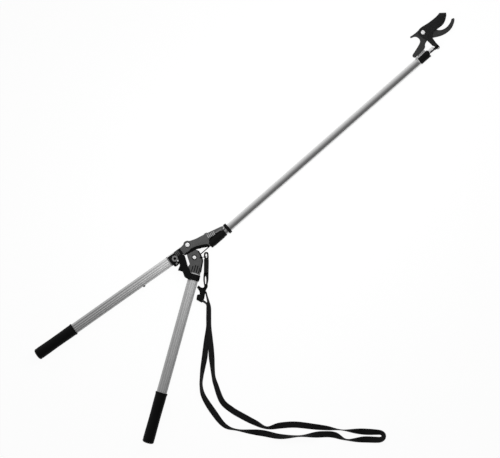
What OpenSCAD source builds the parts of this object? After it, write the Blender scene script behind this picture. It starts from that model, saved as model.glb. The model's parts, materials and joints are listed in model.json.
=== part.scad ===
// Two-handed tree pruner on a pole, lying on its back.
// +X runs along the pole to the cutting head, +Z is up, and the lever pivot stands at the origin.

/* [Pole] */
// Outside diameter of the pole
pole_d = 22; // [20:0.5:24]
// Wall of the pole
pole_wall = 1.2; // [1:0.1:1.6]
// Lower end of the pole, from the lever pivot
pole_start = 64; // [62:1:68]
// Upper end of the pole, from the lever pivot
pole_end = 1012; // [1000:1:1012]
// How far the pole lies beside the lever pivot
pole_offset = 46.5; // [45:0.5:48]

/* [Handles] */
// Width of a handle tube
tube_w = 34.5; // [33:0.5:36]
// Height of a handle tube
tube_h = 27; // [26:0.5:28]
// Wall of a handle tube
tube_wall = 1.8; // [1.4:0.1:2.2]
// Angle between the pole and the upper handle
upper_angle = 174; // [172:0.5:176]
// Angle between the pole and the lower handle
lower_angle = 213.25; // [212:0.25:215]
// Outer end of the upper grip, along its handle
upper_reach = 618; // [600:1:640]
// Outer end of the lower grip, along its handle
lower_reach = 666; // [640:1:690]
// Length of the upper grip
upper_grip_len = 152; // [140:1:180]
// Length of the lower grip
lower_grip_len = 174; // [140:1:180]
// Width of a grip
grip_w = 39.5; // [38:0.5:41]

/* [Mechanism] */
// Height of the tool's middle plane above the floor
mid_z = 18.5; // [18.5:0.5:20]
// How far the lever swings to close the blade
lever_stroke = 28; // [20:1:28]
// Distance of the pull cable from the lever pivot
cable_arm = 51.5; // [51:0.5:52.5]
// Diameter of the pull cable
cable_d = 2.5; // [2:0.1:3]
// Diameter of the lever's pivot bolt
pivot_d = 10; // [8:0.5:11]

/* [Cutting head] */
// Distance of the head pivot along the pole
head_x = 1046.5; // [1040:0.5:1055]
// Distance of the head pivot across the pole
head_y = 15; // [13:0.5:17]
// Thickness of the fixed hook plate
hook_t = 5; // [4:0.5:6]
// Thickness of the cutting blade
blade_t = 4; // [3:0.5:5]
// Diameter of the head's pivot bolt
head_bolt_d = 8; // [6:0.5:9]

/* [Strap] */
// Width of the shoulder strap
strap_w = 21; // [18:1:24]
// Thickness of the shoulder strap
strap_t = 1.8; // [1.4:0.1:2.2]

/* [Hidden] */
$fn = 64;

cast_grey = "#5b5d60";
black_plastic = "#1d1d1f";
black_rubber = "#242426";
aluminium = "#b4b7ba";
bright_steel = "#c9cbce";
hook_steel = "#3d3f42";
blade_steel = "#27282a";
bronze = "#a58a55";
cable_steel = "#8f9296";
webbing_black = "#19191b";

// Fits and walls
skin = 0.05;
run = 0.3;
fork_half = 14;
socket_rivets = [[-21.5, 5.2], [-26.5, -0.6]];
hub_half = 7.6;
core_half = 3.6;
lever_half = 12.5;
socket_half = 15.2;
cheek_in = socket_half + run;
cheek_out = 18.3;
hub_r = 14;
washer_t = 1;
clear_r = 39;
anchor = [-9.8, -46.2];
lever_rivets = [[-38, -70], [-20, -78]];

// Pole, cable and head
pole_y = -pole_offset;
cable_y = -cable_arm;
pole_in = pole_d - 2 * pole_wall;
clamp_r = 16;
clamp_from = 60;
clamp_to = 122;
lug_to = 129.6;
ring_len = 10.5;
clamp_screw_at = [126, -37.5];
blade_arm = head_y - cable_y;
cable_travel = cable_arm * lever_stroke * PI / 180;
blade_stroke = lever_stroke * cable_arm / blade_arm;
pin_x = head_x + 3;
fork_gap = 0.4;
fork_len = 10.8;
fork_r = 4.4;
blade_z = mid_z + run;
head_rivets = [[989, -24.5], [1003, -24]];

// Return spring inside the pole's upper end
seat_x = 922;
seat_len = 8;
spring_from = seat_x + seat_len;
spring_to = 990;
spring_r = 3.7;
spring_wire = 1.1;
spring_turns = 12;
stop_len = 10;

// Handles: each frame has its origin beside the lever pivot and +X out along the handle
plug_w = tube_w - 2 * tube_wall - 2 * skin;
plug_h = tube_h - 2 * tube_wall - 2 * skin;
upper_shift = 10.65;
lower_shift = 48.2;
socket_mouth = 81;
socket_bolt_at = 61;
tube_from = 73;
upper_rivet_at = 96;
lower_rivet_at = 128;
plate_end = 83;
collar_from = 87;
collar_to = 107;

// The strap hangs in a frame of its own, turned from the pole
strap_turn = -41.25;
eye = [4.5, -60];
eye_z = mid_z + (core_half + lever_half) / 2;
ring_r = 7.5;
ring_wire = 2.4;
tab_from_z = mid_z - 9.5;

function unit(v) = v / norm(v);

function bend(a, b, c, n = 4) =
    [for (i = [0:n]) let (t = i / n) a * (1 - t) * (1 - t) + b * 2 * t * (1 - t) + c * t * t];

// A closed outline with every corner eased by up to r
function eased(p, r, n = 3) = [
    for (i = [0:len(p) - 1])
        let (
            q = p[i],
            before = p[(i + len(p) - 1) % len(p)],
            after = p[(i + 1) % len(p)],
            k = min(r, 0.45 * norm(before - q), 0.45 * norm(after - q))
        )
        each bend(q + k * unit(before - q), q, q + k * unit(after - q), n)
];

// A smooth pass through four points
function glide(a, b, c, d, t) =
    0.5 * (2 * b + (c - a) * t + (2 * a - 5 * b + 4 * c - d) * t * t + (3 * b - a - 3 * c + d) * t * t * t);

// An open curve through every point
function spline(p, n = 4) = [
    for (i = [0:len(p) - 2], k = [0:n - 1])
        glide(p[max(i - 1, 0)], p[i], p[i + 1], p[min(i + 2, len(p) - 1)], k / n),
    p[len(p) - 1]
];

module layer(low, high) {
    translate([0, 0, mid_z + low])
        linear_extrude(high - low)
            children();
}

module along_x(x, y, z = mid_z) {
    translate([x, y, z])
        rotate([0, 90, 0])
            children();
}

module upper_frame() {
    translate([0, -upper_shift, mid_z])
        rotate([0, 0, upper_angle])
            children();
}

module lower_frame() {
    translate([0, 0, mid_z])
        rotate([0, 0, lower_angle])
            translate([0, lower_shift, 0])
                children();
}

module strap_frame() {
    rotate([0, 0, strap_turn])
        children();
}

// Section with round ends, w across and h high, as along_x turns it
module oval(w, h) {
    for (side = [-1, 1])
        translate([0, side * (w - h) / 2])
            circle(d = h);
    square([h, max(w - h, 0.01)], center = true);
}

module oval_bar(from, to, w, h) {
    translate([from, 0, 0])
        rotate([0, 90, 0])
            linear_extrude(to - from)
                oval(w, h);
}

module fluted_tube(from, to) {
    groove_r = 0.8;
    side = (tube_w - tube_h) / 2;
    r = tube_h / 2;
    difference() {
        oval_bar(from, to, tube_w, tube_h);
        oval_bar(from - 1, to + 1, tube_w - 2 * tube_wall, tube_h - 2 * tube_wall);
        for (face = [-1, 1], y = [-1, 0, 1])
            translate([from - 1, y * side, face * (r + 0.2)])
                rotate([0, 90, 0])
                    cylinder(r = groove_r, h = to - from + 2, $fn = 24);
        for (face = [-1, 1], end = [-1, 1], turn = [32, 62])
            translate([from - 1, end * (side + (r + 0.2) * sin(turn)), face * (r + 0.2) * cos(turn)])
                rotate([0, 90, 0])
                    cylinder(r = groove_r, h = to - from + 2, $fn = 24);
    }
}

module grip(to, length) {
    grip_h = 2 * mid_z;
    lip = 6;
    difference() {
        union() {
            oval_bar(to - length, to - length + lip, grip_w + 1, grip_h);
            oval_bar(to - length, to - 4, grip_w, grip_h);
            oval_bar(to - 5, to - 1.5, grip_w - 2, grip_h - 2);
            oval_bar(to - 5, to, grip_w - 6, grip_h - 6);
        }
        oval_bar(to - length - 1, to - 8, tube_w + 2 * skin, tube_h + 2 * skin);
    }
}

module pole_tube() {
    color(aluminium)
        difference() {
            along_x(pole_start, pole_y)
                cylinder(d = pole_d, h = pole_end - pole_start);
            along_x(pole_start - 1, pole_y)
                cylinder(d = pole_in, h = pole_end - pole_start + 2);
        }
}

module bumper_ring() {
    color(black_rubber)
        along_x(130, pole_y)
            rotate_extrude()
                polygon(eased([
                    [pole_d / 2 + skin, 0], [mid_z, 0], [mid_z, ring_len], [pole_d / 2 + skin, ring_len]
                ], 2));
}

module neck_outline() {
    polygon(eased([
        [-27, 9.5], [-5, 11.5], [8, 8.5], [17, 0.5], [42, -6.5], [58, -9.5], [80, -15.5], [118, -26.5],
        [lug_to, -31.5], [lug_to, -44], [clamp_to, -47], [clamp_to - 1, -61], [62, -62], [46, -48.5],
        [30, -37.5], [12, -27], [-4.5, -23], [-32, -18]
    ], 5));
}

module pole_body() {
    color(cast_grey)
        difference() {
            union() {
                layer(-fork_half, fork_half)
                    neck_outline();
                along_x(clamp_from, pole_y)
                    cylinder(r = clamp_r, h = clamp_to - clamp_from);
            }
            along_x(pole_start - skin, pole_y)
                cylinder(d = pole_d + 2 * skin, h = clamp_to);
            along_x(clamp_from - 20, cable_y)
                cylinder(d = 7, h = 30);
            layer(-hub_half - run, hub_half + run)
                polygon([[-45, -60], [22, -60], [22, 20], [-45, 20]]);
            translate([0, 0, -1])
                cylinder(d = pivot_d + 2 * skin, h = 3 * mid_z);
            for (p = socket_rivets)
                translate([p.x, p.y, -1])
                    cylinder(d = 3.4 + 2 * skin, h = 3 * mid_z);
            pole_screw_place()
                translate([0, 0, -30])
                    cylinder(d = 6 + 2 * skin, h = 40);
            translate([clamp_screw_at.x, clamp_screw_at.y, mid_z])
                cylinder(d = 5 + 2 * skin, h = 40);
        }
}

module pole_screw_place() {
    translate([69, -12.6, mid_z])
        rotate([-90, 0, -15])
            children();
}

module pole_screw() {
    color(bright_steel)
        pole_screw_place()
            union() {
                translate([0, 0, 0.3])
                    cylinder(d = 13, h = 3.4, $fn = 6);
                translate([0, 0, -21])
                    cylinder(d = 6, h = 22);
            }
}

module cable_guide() {
    color(bronze)
        along_x(54, cable_y)
            difference() {
                cylinder(d = 7 - 2 * skin, h = pole_start - 54 - skin);
                translate([0, 0, -1])
                    cylinder(d = cable_d + 0.8, h = 20);
            }
}

module rear_socket() {
    color(black_plastic)
        difference() {
            union() {
                layer(-hub_half, hub_half)
                    polygon(eased([
                        [-17, 8.5], [-40, 11], [-40, -10.5], [-33, -8.4], [-24, -5], [-16, 0]
                    ], 1.5));
                intersection() {
                    upper_frame()
                        oval_bar(32.4, socket_mouth, tube_w, 2 * socket_half);
                    layer(-socket_half, socket_half)
                        polygon([[-32.4, 20], [-90, 25], [-90, -30], [-74, -21.5], [-32.4, -9.4]]);
                }
                upper_frame()
                    oval_bar(60, 120, plug_w, plug_h);
            }
            upper_frame()
                difference() {
                    oval_bar(tube_from, 130, tube_w + 2 * skin, tube_h + 2 * skin);
                    oval_bar(60, 125, plug_w, plug_h);
                }
            cylinder(r = hub_r + 1.2, h = 3 * mid_z);
            for (p = socket_rivets)
                translate([p.x, p.y, -1])
                    cylinder(d = 3.4 + 2 * skin, h = 3 * mid_z);
            upper_frame()
                translate([socket_bolt_at, 0, -30])
                    cylinder(d = 6 + 2 * skin, h = 60);
            upper_frame()
                for (face = [0, 1])
                    mirror([0, 0, face])
                        translate([socket_bolt_at, 0, socket_half - 2.4])
                            cylinder(d = 14, h = 10);
            upper_frame()
                translate([upper_rivet_at, 0, -30])
                    cylinder(d = 5 + 2 * skin, h = 30);
        }
}

module socket_bolt() {
    color(cable_steel)
        upper_frame()
            union() {
                translate([socket_bolt_at, 0, -socket_half + 0.4])
                    cylinder(d = 6, h = 2 * socket_half - 0.8);
                translate([socket_bolt_at, 0, socket_half - 2.3])
                    cylinder(d = 10, h = 2);
                translate([socket_bolt_at, 0, -socket_half + 0.3])
                    cylinder(d = 10, h = 2);
            }
}

module clamp_screw() {
    color(bright_steel)
        translate([clamp_screw_at.x, clamp_screw_at.y, mid_z])
            union() {
                translate([0, 0, 9.4])
                    cylinder(d = 5, h = fork_half - 9);
                translate([0, 0, fork_half + skin])
                    cylinder(d = 7.4, h = 3);
            }
}

module flush_rivet(at, d, low, high, shade) {
    color(shade)
        translate([at.x, at.y, mid_z + low])
            cylinder(d = d, h = high - low);
}

module socket_rivet_upper() {
    flush_rivet(socket_rivets[0], 3.4, -fork_half - 0.3, fork_half + 0.3, cast_grey);
}

module socket_rivet_lower() {
    flush_rivet(socket_rivets[1], 3.4, -fork_half - 0.3, fork_half + 0.3, cast_grey);
}

module handle_rivet() {
    union() {
        translate([0, 0, -tube_h / 2 - 0.2])
            cylinder(d = 5, h = 8);
        translate([0, 0, -tube_h / 2 - 1.35])
            cylinder(d1 = 6.4, d2 = 8.4, h = 1.3);
    }
}

module drilled_tube(from, to, at) {
    color(aluminium)
        difference() {
            fluted_tube(from, to);
            translate([at, 0, -30])
                cylinder(d = 5 + 2 * skin, h = 30);
        }
}

module upper_handle_tube() {
    upper_frame()
        drilled_tube(tube_from + 0.1, upper_reach - 8.1, upper_rivet_at);
}

module upper_handle_rivet() {
    color(bright_steel)
        upper_frame()
            translate([upper_rivet_at, 0, 0])
                handle_rivet();
}

module upper_grip() {
    color(black_rubber)
        upper_frame()
            grip(upper_reach, upper_grip_len);
}

module handle_bumper() {
    color(black_rubber)
        layer(-8, 8)
            polygon(eased([
                [-64.5, -18.8], [-66, -25.5], [-72, -28.8], [-78.5, -26.5], [-80, -20], [-74, -21.6]
            ], 2));
}

module main_pivot_bolt() {
    color(bright_steel)
        union() {
            translate([0, 0, mid_z - fork_half - 3.2])
                cylinder(d = pivot_d, h = 2 * fork_half + 5);
            translate([0, 0, mid_z + fork_half + washer_t + 2 * skin])
                rotate_extrude()
                    polygon(concat([[0, 0], [8.2, 0]], bend([8.2, 1.2], [7.2, 3.6], [0, 3.8])));
        }
}

module main_pivot_washer() {
    color(black_plastic)
        translate([0, 0, mid_z + fork_half + skin])
            difference() {
                cylinder(d = 21, h = washer_t);
                translate([0, 0, -1])
                    cylinder(d = pivot_d + 2 * skin, h = 5);
            }
}

module main_pivot_nut() {
    color(bright_steel)
        difference() {
            cylinder(d = 19.6, h = mid_z - fork_half - skin, $fn = 6);
            translate([0, 0, 1.2])
                cylinder(d = pivot_d + 2 * skin, h = 8);
        }
}

module head_bracket() {
    from = 971;
    color(aluminium)
        difference() {
            union() {
                along_x(from, pole_y)
                    cylinder(d = 27, h = pole_end - from);
                translate([983, pole_y + 8, mid_z - hook_t - 8])
                    cube([pole_end - 984, 20, 8 + hook_t]);
            }
            along_x(900, pole_y)
                cylinder(d = pole_d + 2 * skin, h = 200);
            translate([960, pole_y + 13.9, mid_z - hook_t - skin])
                cube([70, 40, 30]);
            for (p = head_rivets)
                translate([p.x, p.y, 0])
                    cylinder(d = 4 + 2 * skin, h = 60);
        }
}

module head_cover() {
    from = 974.5;
    color(black_plastic)
        difference() {
            along_x(from, pole_y)
                cylinder(d = 31, h = pole_end + 4 - from);
            along_x(960, pole_y)
                cylinder(d = 27 + 2 * skin, h = 70);
            translate([960, pole_y + 6.5, 0])
                cube([70, 30, 60]);
        }
}

module head_rivet_lower() {
    flush_rivet(head_rivets[0], 4, -hook_t - 8.3, 0.1, hook_steel);
}

module head_rivet_upper() {
    flush_rivet(head_rivets[1], 4, -hook_t - 8.3, 0.1, hook_steel);
}

module hook_outline() {
    polygon(concat(
        spline([[-8, 14], [-15, 12.8], [-27, 11.8], [-41.5, 14.4]]),
        spline([
            [-40.6, 13], [-30, 8.6], [-23.6, -0.5], [-22.6, -10], [-25.5, -18], [-34, -23.2], [-48, -27.8],
            [-63, -32.2], [-74, -35], [-77.6, -40.5], [-73.5, -46.6]
        ]),
        spline([
            [-34, -44.4], [-27, -41.5], [-20, -34], [-8, -29.8], [4, -31], [16, -36.2], [27, -42],
            [40, -47.6], [57, -50.8], [79, -49], [96, -42.4], [106.5, -34.6], [105.4, -31.4]
        ]),
        spline([
            [101.5, -30.4], [93.5, -35.4], [84.8, -38.8], [75, -40.9], [65, -40.6], [56, -37.8], [48, -32.5],
            [42.5, -26], [37, -16], [31, -4], [20, 9], [6, 14.5]
        ])
    ));
}

module hook_plate() {
    color(hook_steel)
        difference() {
            translate([head_x, head_y, mid_z - hook_t])
                linear_extrude(hook_t)
                    hook_outline();
            translate([head_x, head_y, 0])
                cylinder(d = head_bolt_d + 2 * skin, h = 60);
            for (p = head_rivets)
                translate([p.x, p.y, 0])
                    cylinder(d = 4 + 2 * skin, h = 60);
        }
}

module blade_outline() {
    polygon(concat(
        spline([
            [-15.5, 2], [-13, 12], [-3, 16], [9, 16.3], [34, 12.2], [62, 10.6], [75, 11.4], [82.5, 13.2]
        ]),
        spline([
            [100.2, -0.6], [97, -6.5], [90, -12.6], [82, -18], [73, -22.3], [65, -24], [56, -24.1],
            [48, -23.4], [38, -22.6], [28, -22.6], [18, -26.5], [11.6, -36]
        ]),
        spline([[9.8, -53.5], [10.4, -66], [9.4, -73], [4, -75.6], [-1.2, -73], [-2.4, -66], [-2.6, -58.5]]),
        spline([[-5.8, -54], [-6.4, -44], [-8, -30], [-12.5, -14]])
    ));
}

module cutting_blade() {
    slot_r = 2.4 + 0.55;
    slot = [[3, -blade_arm], [3.3, -blade_arm - 1.8], [4, -blade_arm - 3.6]];
    color(blade_steel)
        translate([head_x, head_y, blade_z])
            difference() {
                linear_extrude(blade_t)
                    blade_outline();
                translate([0, 0, -1])
                    cylinder(d = head_bolt_d + 3 + 2 * skin, h = blade_t + 2);
                for (p = slot)
                    translate([p.x, p.y, -1])
                        cylinder(r = slot_r, h = blade_t + 2);
            }
}

module blade_bush() {
    color(bronze)
        translate([head_x, head_y, blade_z])
            difference() {
                cylinder(d = head_bolt_d + 3, h = blade_t);
                translate([0, 0, -1])
                    cylinder(d = head_bolt_d + 0.1, h = blade_t + 2);
            }
}

module blade_pivot_bolt() {
    color(bright_steel)
        translate([head_x, head_y, 0])
            union() {
                translate([0, 0, mid_z - hook_t - 7])
                    cylinder(d = head_bolt_d, h = hook_t + 7 + run + blade_t + run);
                translate([0, 0, blade_z + blade_t + run])
                    rotate_extrude()
                        polygon(concat([[0, 0], [7, 0]], bend([7, 1.4], [6, 3.6], [0, 3.8])));
            }
}

module blade_pivot_nut() {
    color(bright_steel)
        translate([head_x, head_y, mid_z - hook_t - 6.5 - skin])
            difference() {
                cylinder(d = 15, h = 6.5, $fn = 6);
                translate([0, 0, -1])
                    cylinder(d = head_bolt_d + 2 * skin, h = 9);
            }
}

module spring_seat() {
    color(bronze)
        difference() {
            along_x(seat_x, pole_y)
                cylinder(d = pole_in - 2 * skin, h = seat_len);
            along_x(seat_x - 1, cable_y)
                cylinder(d = cable_d + 0.8, h = seat_len + 2);
        }
}

module return_spring() {
    per_turn = 8;
    sides = 6;
    steps = spring_turns * per_turn;
    from = spring_from + spring_wire / 2 + skin;
    span = spring_to - spring_from - spring_wire - 2 * skin;
    rings = [
        for (i = [0:steps], k = [0:sides - 1])
            let (
                turn = 360 * i / per_turn,
                out = spring_r + spring_wire / 2 * cos(360 * k / sides)
            )
            [
                from + span * i / steps + spring_wire / 2 * sin(360 * k / sides),
                cable_y + out * cos(turn),
                mid_z + out * sin(turn)
            ]
    ];
    walls = [
        for (i = [0:steps - 1], k = [0:sides - 1])
            let (a = i * sides + k, b = i * sides + (k + 1) % sides)
            each [[a, b, b + sides], [a, b + sides, a + sides]]
    ];
    first = [for (k = [0:sides - 1]) sides - 1 - k];
    last = [for (k = [0:sides - 1]) steps * sides + k];
    color(bright_steel)
        polyhedron(rings, concat(walls, [first, last]));
}

module cheek_outline() {
    polygon(eased([
        [-30.5, -18.5], [-33.5, -7], [-47, -9.5], [-58, -20], [-62.5, -34], [-79, -42.4], [-70, -56],
        [-77, -74], [-71, -92], [-55, -82], [-47, -64], [-46, -54], [-32, -25]
    ], 2));
}

module web_outline() {
    polygon(eased([[-71, -60], [-77, -74], [-71, -92], [-59.5, -79], [-54.5, -65.5]], 2));
}

module lever_core() {
    polygon(eased([
        [-46.5, -60.5], [-52, -72], [-57, -83], [-46, -99.5], [-30, -95], [0, -70], [-3, -58.5], [-20, -55.5]
    ], 2));
}

module lever_socket() {
    color(black_plastic)
        difference() {
            union() {
                for (face = [0, 1])
                    translate([0, 0, mid_z])
                        mirror([0, 0, face])
                            translate([0, 0, cheek_in])
                                linear_extrude(cheek_out - cheek_in)
                                    cheek_outline();
                layer(-cheek_in - 1, cheek_in + 1)
                    web_outline();
                layer(-core_half, core_half)
                    lever_core();
                lower_frame()
                    oval_bar(collar_from, collar_to, tube_w + 6.5, 2 * socket_half);
                lower_frame()
                    oval_bar(collar_from, 145, plug_w, plug_h);
            }
            lower_frame()
                difference() {
                    oval_bar(collar_from + 3, 160, tube_w + 2 * skin, tube_h + 2 * skin);
                    oval_bar(collar_from, 145, plug_w, plug_h);
                }
            for (face = [0, 1])
                translate([0, 0, mid_z])
                    mirror([0, 0, face])
                        translate([0, 0, core_half])
                            linear_extrude(lever_half - core_half + skin)
                                plate_outline();
            for (p = lever_rivets)
                translate([p.x, p.y, -1])
                    cylinder(d = 4 + 2 * skin, h = 60);
            lower_frame()
                translate([lower_rivet_at, 0, -30])
                    cylinder(d = 5 + 2 * skin, h = 30);
        }
}

module plate_outline() {
    polygon(eased([
        [-10, -9.5], [-24, -24.7], [-35.5, -52.5], [-46, -55], [-51.5, -61], [-52.1, -71.9], [-32.8, -101.4],
        [3.5, -71.6], [12, -52], [14.5, -36.5], [9.5, -28.5], [13, -4]
    ], 2));
}

module lever_plate() {
    difference() {
        union() {
            linear_extrude(hub_half - core_half - 2 * skin)
                union() {
                    plate_outline();
                    circle(r = hub_r);
                }
            difference() {
                linear_extrude(lever_half - core_half - 2 * skin)
                    plate_outline();
                translate([0, 0, -1])
                    cylinder(r = clear_r, h = 30);
            }
            children();
        }
        translate([0, 0, -1])
            cylinder(d = pivot_d + 4 + 2 * skin, h = 30);
        translate([anchor.x, anchor.y, -1])
            cylinder(d = 6 + 2 * skin, h = 30);
        for (p = lever_rivets)
            translate([p.x, p.y, -1])
                cylinder(d = 4 + 2 * skin, h = 30);
    }
}

module lever_front_plate() {
    color(cast_grey)
        translate([0, 0, mid_z + core_half + skin])
            difference() {
                lever_plate()
                    translate([eye.x, eye.y, 0])
                        cylinder(r = 6.5, h = lever_half - core_half - 2 * skin);
                translate([eye.x, eye.y, -1])
                    cylinder(d = 5.6, h = 30);
            }
}

module lever_rear_plate() {
    color(cast_grey)
        translate([0, 0, mid_z - core_half - skin])
            mirror([0, 0, 1])
                lever_plate();
}

module lever_bush() {
    color(bronze)
        translate([0, 0, mid_z - hub_half])
            difference() {
                cylinder(d = pivot_d + 4, h = 2 * hub_half);
                translate([0, 0, -1])
                    cylinder(d = pivot_d + 0.1, h = 2 * hub_half + 2);
            }
}

module cam_outline(r) {
    ends = [236, 281];
    polygon(concat(
        [[-11, 2], [-13, -7]],
        [for (i = [0:12]) let (a = ends[0] + (ends[1] - ends[0]) * i / 12) r * [cos(a), sin(a)]],
        [[12, -8], [11, 2]],
        bend([8, 11], [0, 14], [-8, 11])
    ));
}

module cable_cam() {
    groove = cable_arm - cable_d / 2 - skin;
    color(aluminium)
        difference() {
            union() {
                layer(-cable_d / 2 - run, cable_d / 2 + run)
                    cam_outline(groove);
                layer(-core_half, -cable_d / 2 - run)
                    cam_outline(groove + 3.4);
                layer(cable_d / 2 + run, core_half)
                    cam_outline(groove + 3.4);
            }
            cylinder(d = pivot_d + 4 + 2 * skin, h = 60);
            translate([anchor.x, anchor.y, 0])
                cylinder(d = 6 + 2 * skin, h = 60);
        }
}

module anchor_bolt() {
    color(bright_steel)
        translate([anchor.x, anchor.y, 0])
            union() {
                translate([0, 0, mid_z - lever_half - 3.8])
                    cylinder(d = 6, h = 2 * lever_half + 6);
                translate([0, 0, mid_z + lever_half + washer_t + 2 * skin])
                    rotate_extrude()
                        polygon(concat([[0, 0], [6.2, 0]], bend([6.2, 1.2], [5.4, 3.2], [0, 3.4])));
            }
}

module anchor_washer() {
    color(black_plastic)
        translate([anchor.x, anchor.y, mid_z + lever_half + skin])
            difference() {
                cylinder(d = 17.5, h = washer_t);
                translate([0, 0, -1])
                    cylinder(d = 6 + 2 * skin, h = 5);
            }
}

module anchor_nut() {
    color(bright_steel)
        translate([anchor.x, anchor.y, mid_z - lever_half - 4 - skin])
            difference() {
                cylinder(d = 11, h = 4, $fn = 6);
                translate([0, 0, -1])
                    cylinder(d = 6 + 2 * skin, h = 6);
            }
}

module lever_spacer() {
    color(aluminium)
        difference() {
            lower_frame()
                oval_bar(plate_end + 0.2, collar_from - skin, tube_w + 2, 2 * lever_half);
            layer(-core_half - skin, core_half + skin)
                lever_core();
        }
}

module lever_rivet_left() {
    flush_rivet(lever_rivets[0], 4, -lever_half - 0.2, lever_half, cast_grey);
}

module lever_rivet_right() {
    flush_rivet(lever_rivets[1], 4, -lever_half - 0.2, lever_half, cast_grey);
}

module lower_handle_tube() {
    lower_frame()
        drilled_tube(collar_from + 3.1, lower_reach - 8.1, lower_rivet_at);
}

module lower_handle_rivet() {
    color(bright_steel)
        lower_frame()
            translate([lower_rivet_at, 0, 0])
                handle_rivet();
}

module lower_grip() {
    color(black_rubber)
        lower_frame()
            grip(lower_reach, lower_grip_len);
}

// The stretch of cable that lies in the cam's groove, with its end barrel
module cable_tail() {
    color(cable_steel)
        translate([0, 0, mid_z])
            union() {
                rotate([0, 0, 250])
                    rotate_extrude(angle = 20)
                        translate([cable_arm, 0])
                            circle(d = cable_d, $fn = 24);
                rotate([0, 0, 248])
                    translate([cable_arm + 0.8, 0, -1.5])
                        cylinder(d = 4, h = 3);
            }
}

module pull_cable() {
    color(cable_steel)
        along_x(0.3, cable_y)
            cylinder(d = cable_d, h = pin_x - fork_len + 1.8 - 0.3, $fn = 24);
}

module cable_stop() {
    color(bright_steel)
        along_x(spring_to, cable_y)
            difference() {
                cylinder(d = 8.6, h = stop_len);
                translate([0, 0, -1])
                    cylinder(d = cable_d + 2 * skin, h = stop_len + 2, $fn = 24);
            }
}

module cable_fork() {
    cheek = 2.2;
    low = blade_z - fork_gap - cheek;
    high = blade_z + blade_t + fork_gap;
    color(bright_steel)
        difference() {
            union() {
                for (z = [low, high])
                    translate([pin_x, cable_y, z])
                        linear_extrude(cheek)
                            union() {
                                circle(r = fork_r);
                                translate([-fork_len, -fork_r])
                                    square([fork_len, 2 * fork_r]);
                            }
                translate([pin_x - fork_len, cable_y - fork_r, low])
                    cube([3, 2 * fork_r, high + cheek - low]);
                along_x(pin_x - fork_len - 11, cable_y)
                    cylinder(d = 5.4, h = 12);
            }
            along_x(pin_x - 40, cable_y)
                cylinder(d = cable_d + 2 * skin, h = 40 - fork_len + 2, $fn = 24);
            translate([pin_x, cable_y, 0])
                cylinder(d = 4.8 + 2 * skin, h = 60);
        }
}

module fork_pin() {
    color(bright_steel)
        translate([pin_x, cable_y, blade_z - fork_gap - 3.2])
            union() {
                cylinder(d = 4.8, h = blade_t + 2 * fork_gap + 6.4);
                translate([0, 0, blade_t + 2 * fork_gap + 5.45])
                    cylinder(d = 7.2, h = 1.4);
            }
}

module strap_ring() {
    half = 2.5;
    color(blade_steel)
        strap_frame()
            translate([52, -40.3, eye_z])
                rotate([0, 0, 11])
                    rotate([90, 0, 0])
                        union() {
                            for (side = [-1, 1])
                                translate([side * half, 0, 0])
                                    rotate([0, 0, side > 0 ? -90 : 90])
                                        rotate_extrude(angle = 180)
                                            translate([ring_r, 0])
                                                circle(d = ring_wire, $fn = 24);
                            for (side = [-1, 1])
                                translate([-half, side * ring_r, 0])
                                    rotate([0, 90, 0])
                                        cylinder(d = ring_wire, h = 2 * half, $fn = 24);
                        }
}

module tab_loop(outer, inner) {
    difference() {
        polygon(eased(outer, 6, 4));
        polygon(eased(inner, 5, 4));
    }
}

module strap_tab() {
    top_h = 9.4;
    color(webbing_black)
        strap_frame()
            union() {
                translate([0, 0, eye_z - top_h / 2])
                    linear_extrude(top_h)
                        tab_loop(
                            [[55, -38], [56.5, -24.5], [67.5, -24.5], [69, -38], [66.6, -49], [60, -49]],
                            [[58, -38], [59.2, -27.5], [64.8, -27.5], [66, -38], [64, -43.5], [62, -43.5]]
                        );
                translate([0, 0, tab_from_z])
                    linear_extrude(20)
                        union() {
                            polygon([
                                [60, -47], [66.6, -47], [67.2, -52], [67.2, -94], [66.6, -101], [60, -101],
                                [59.2, -94], [59.2, -52]
                            ]);
                            tab_loop(
                                [[60, -99], [66.6, -99], [69, -116], [66, -140], [58, -141], [52.5, -118]],
                                [
                                    [62.4, -104], [63.6, -104], [66, -116], [63.6, -137], [60, -137.6],
                                    [55.6, -118]
                                ]
                            );
                        }
            }
}

module strap_hook() {
    pin = [61.6, -132.5];
    color(black_plastic)
        strap_frame()
            union() {
                translate([pin.x, pin.y, 4])
                    cylinder(d = 4.2, h = 27.2);
                translate([pin.x, pin.y, tab_from_z + 20.3])
                    cylinder(d = 11, h = 2.4);
                translate([0, 0, 3])
                    linear_extrude(5.2)
                        polygon(eased([
                            [57.5, -129], [65.5, -129], [66.5, -138], [60, -149], [57, -166], [55, -181],
                            [45.5, -181], [43, -166], [42.5, -152], [33, -140], [36.5, -135], [46, -143],
                            [53.5, -142]
                        ], 3));
                translate([57, -152, 3])
                    cylinder(d = 5, h = 22);
            }
}

module strap_slider() {
    color(black_plastic)
        strap_frame()
            translate([0, 0, 8.3])
                linear_extrude(9)
                    polygon(eased([[29.5, -165], [44, -165], [51, -176], [51, -190], [30.5, -190.5]], 3));
}

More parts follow.
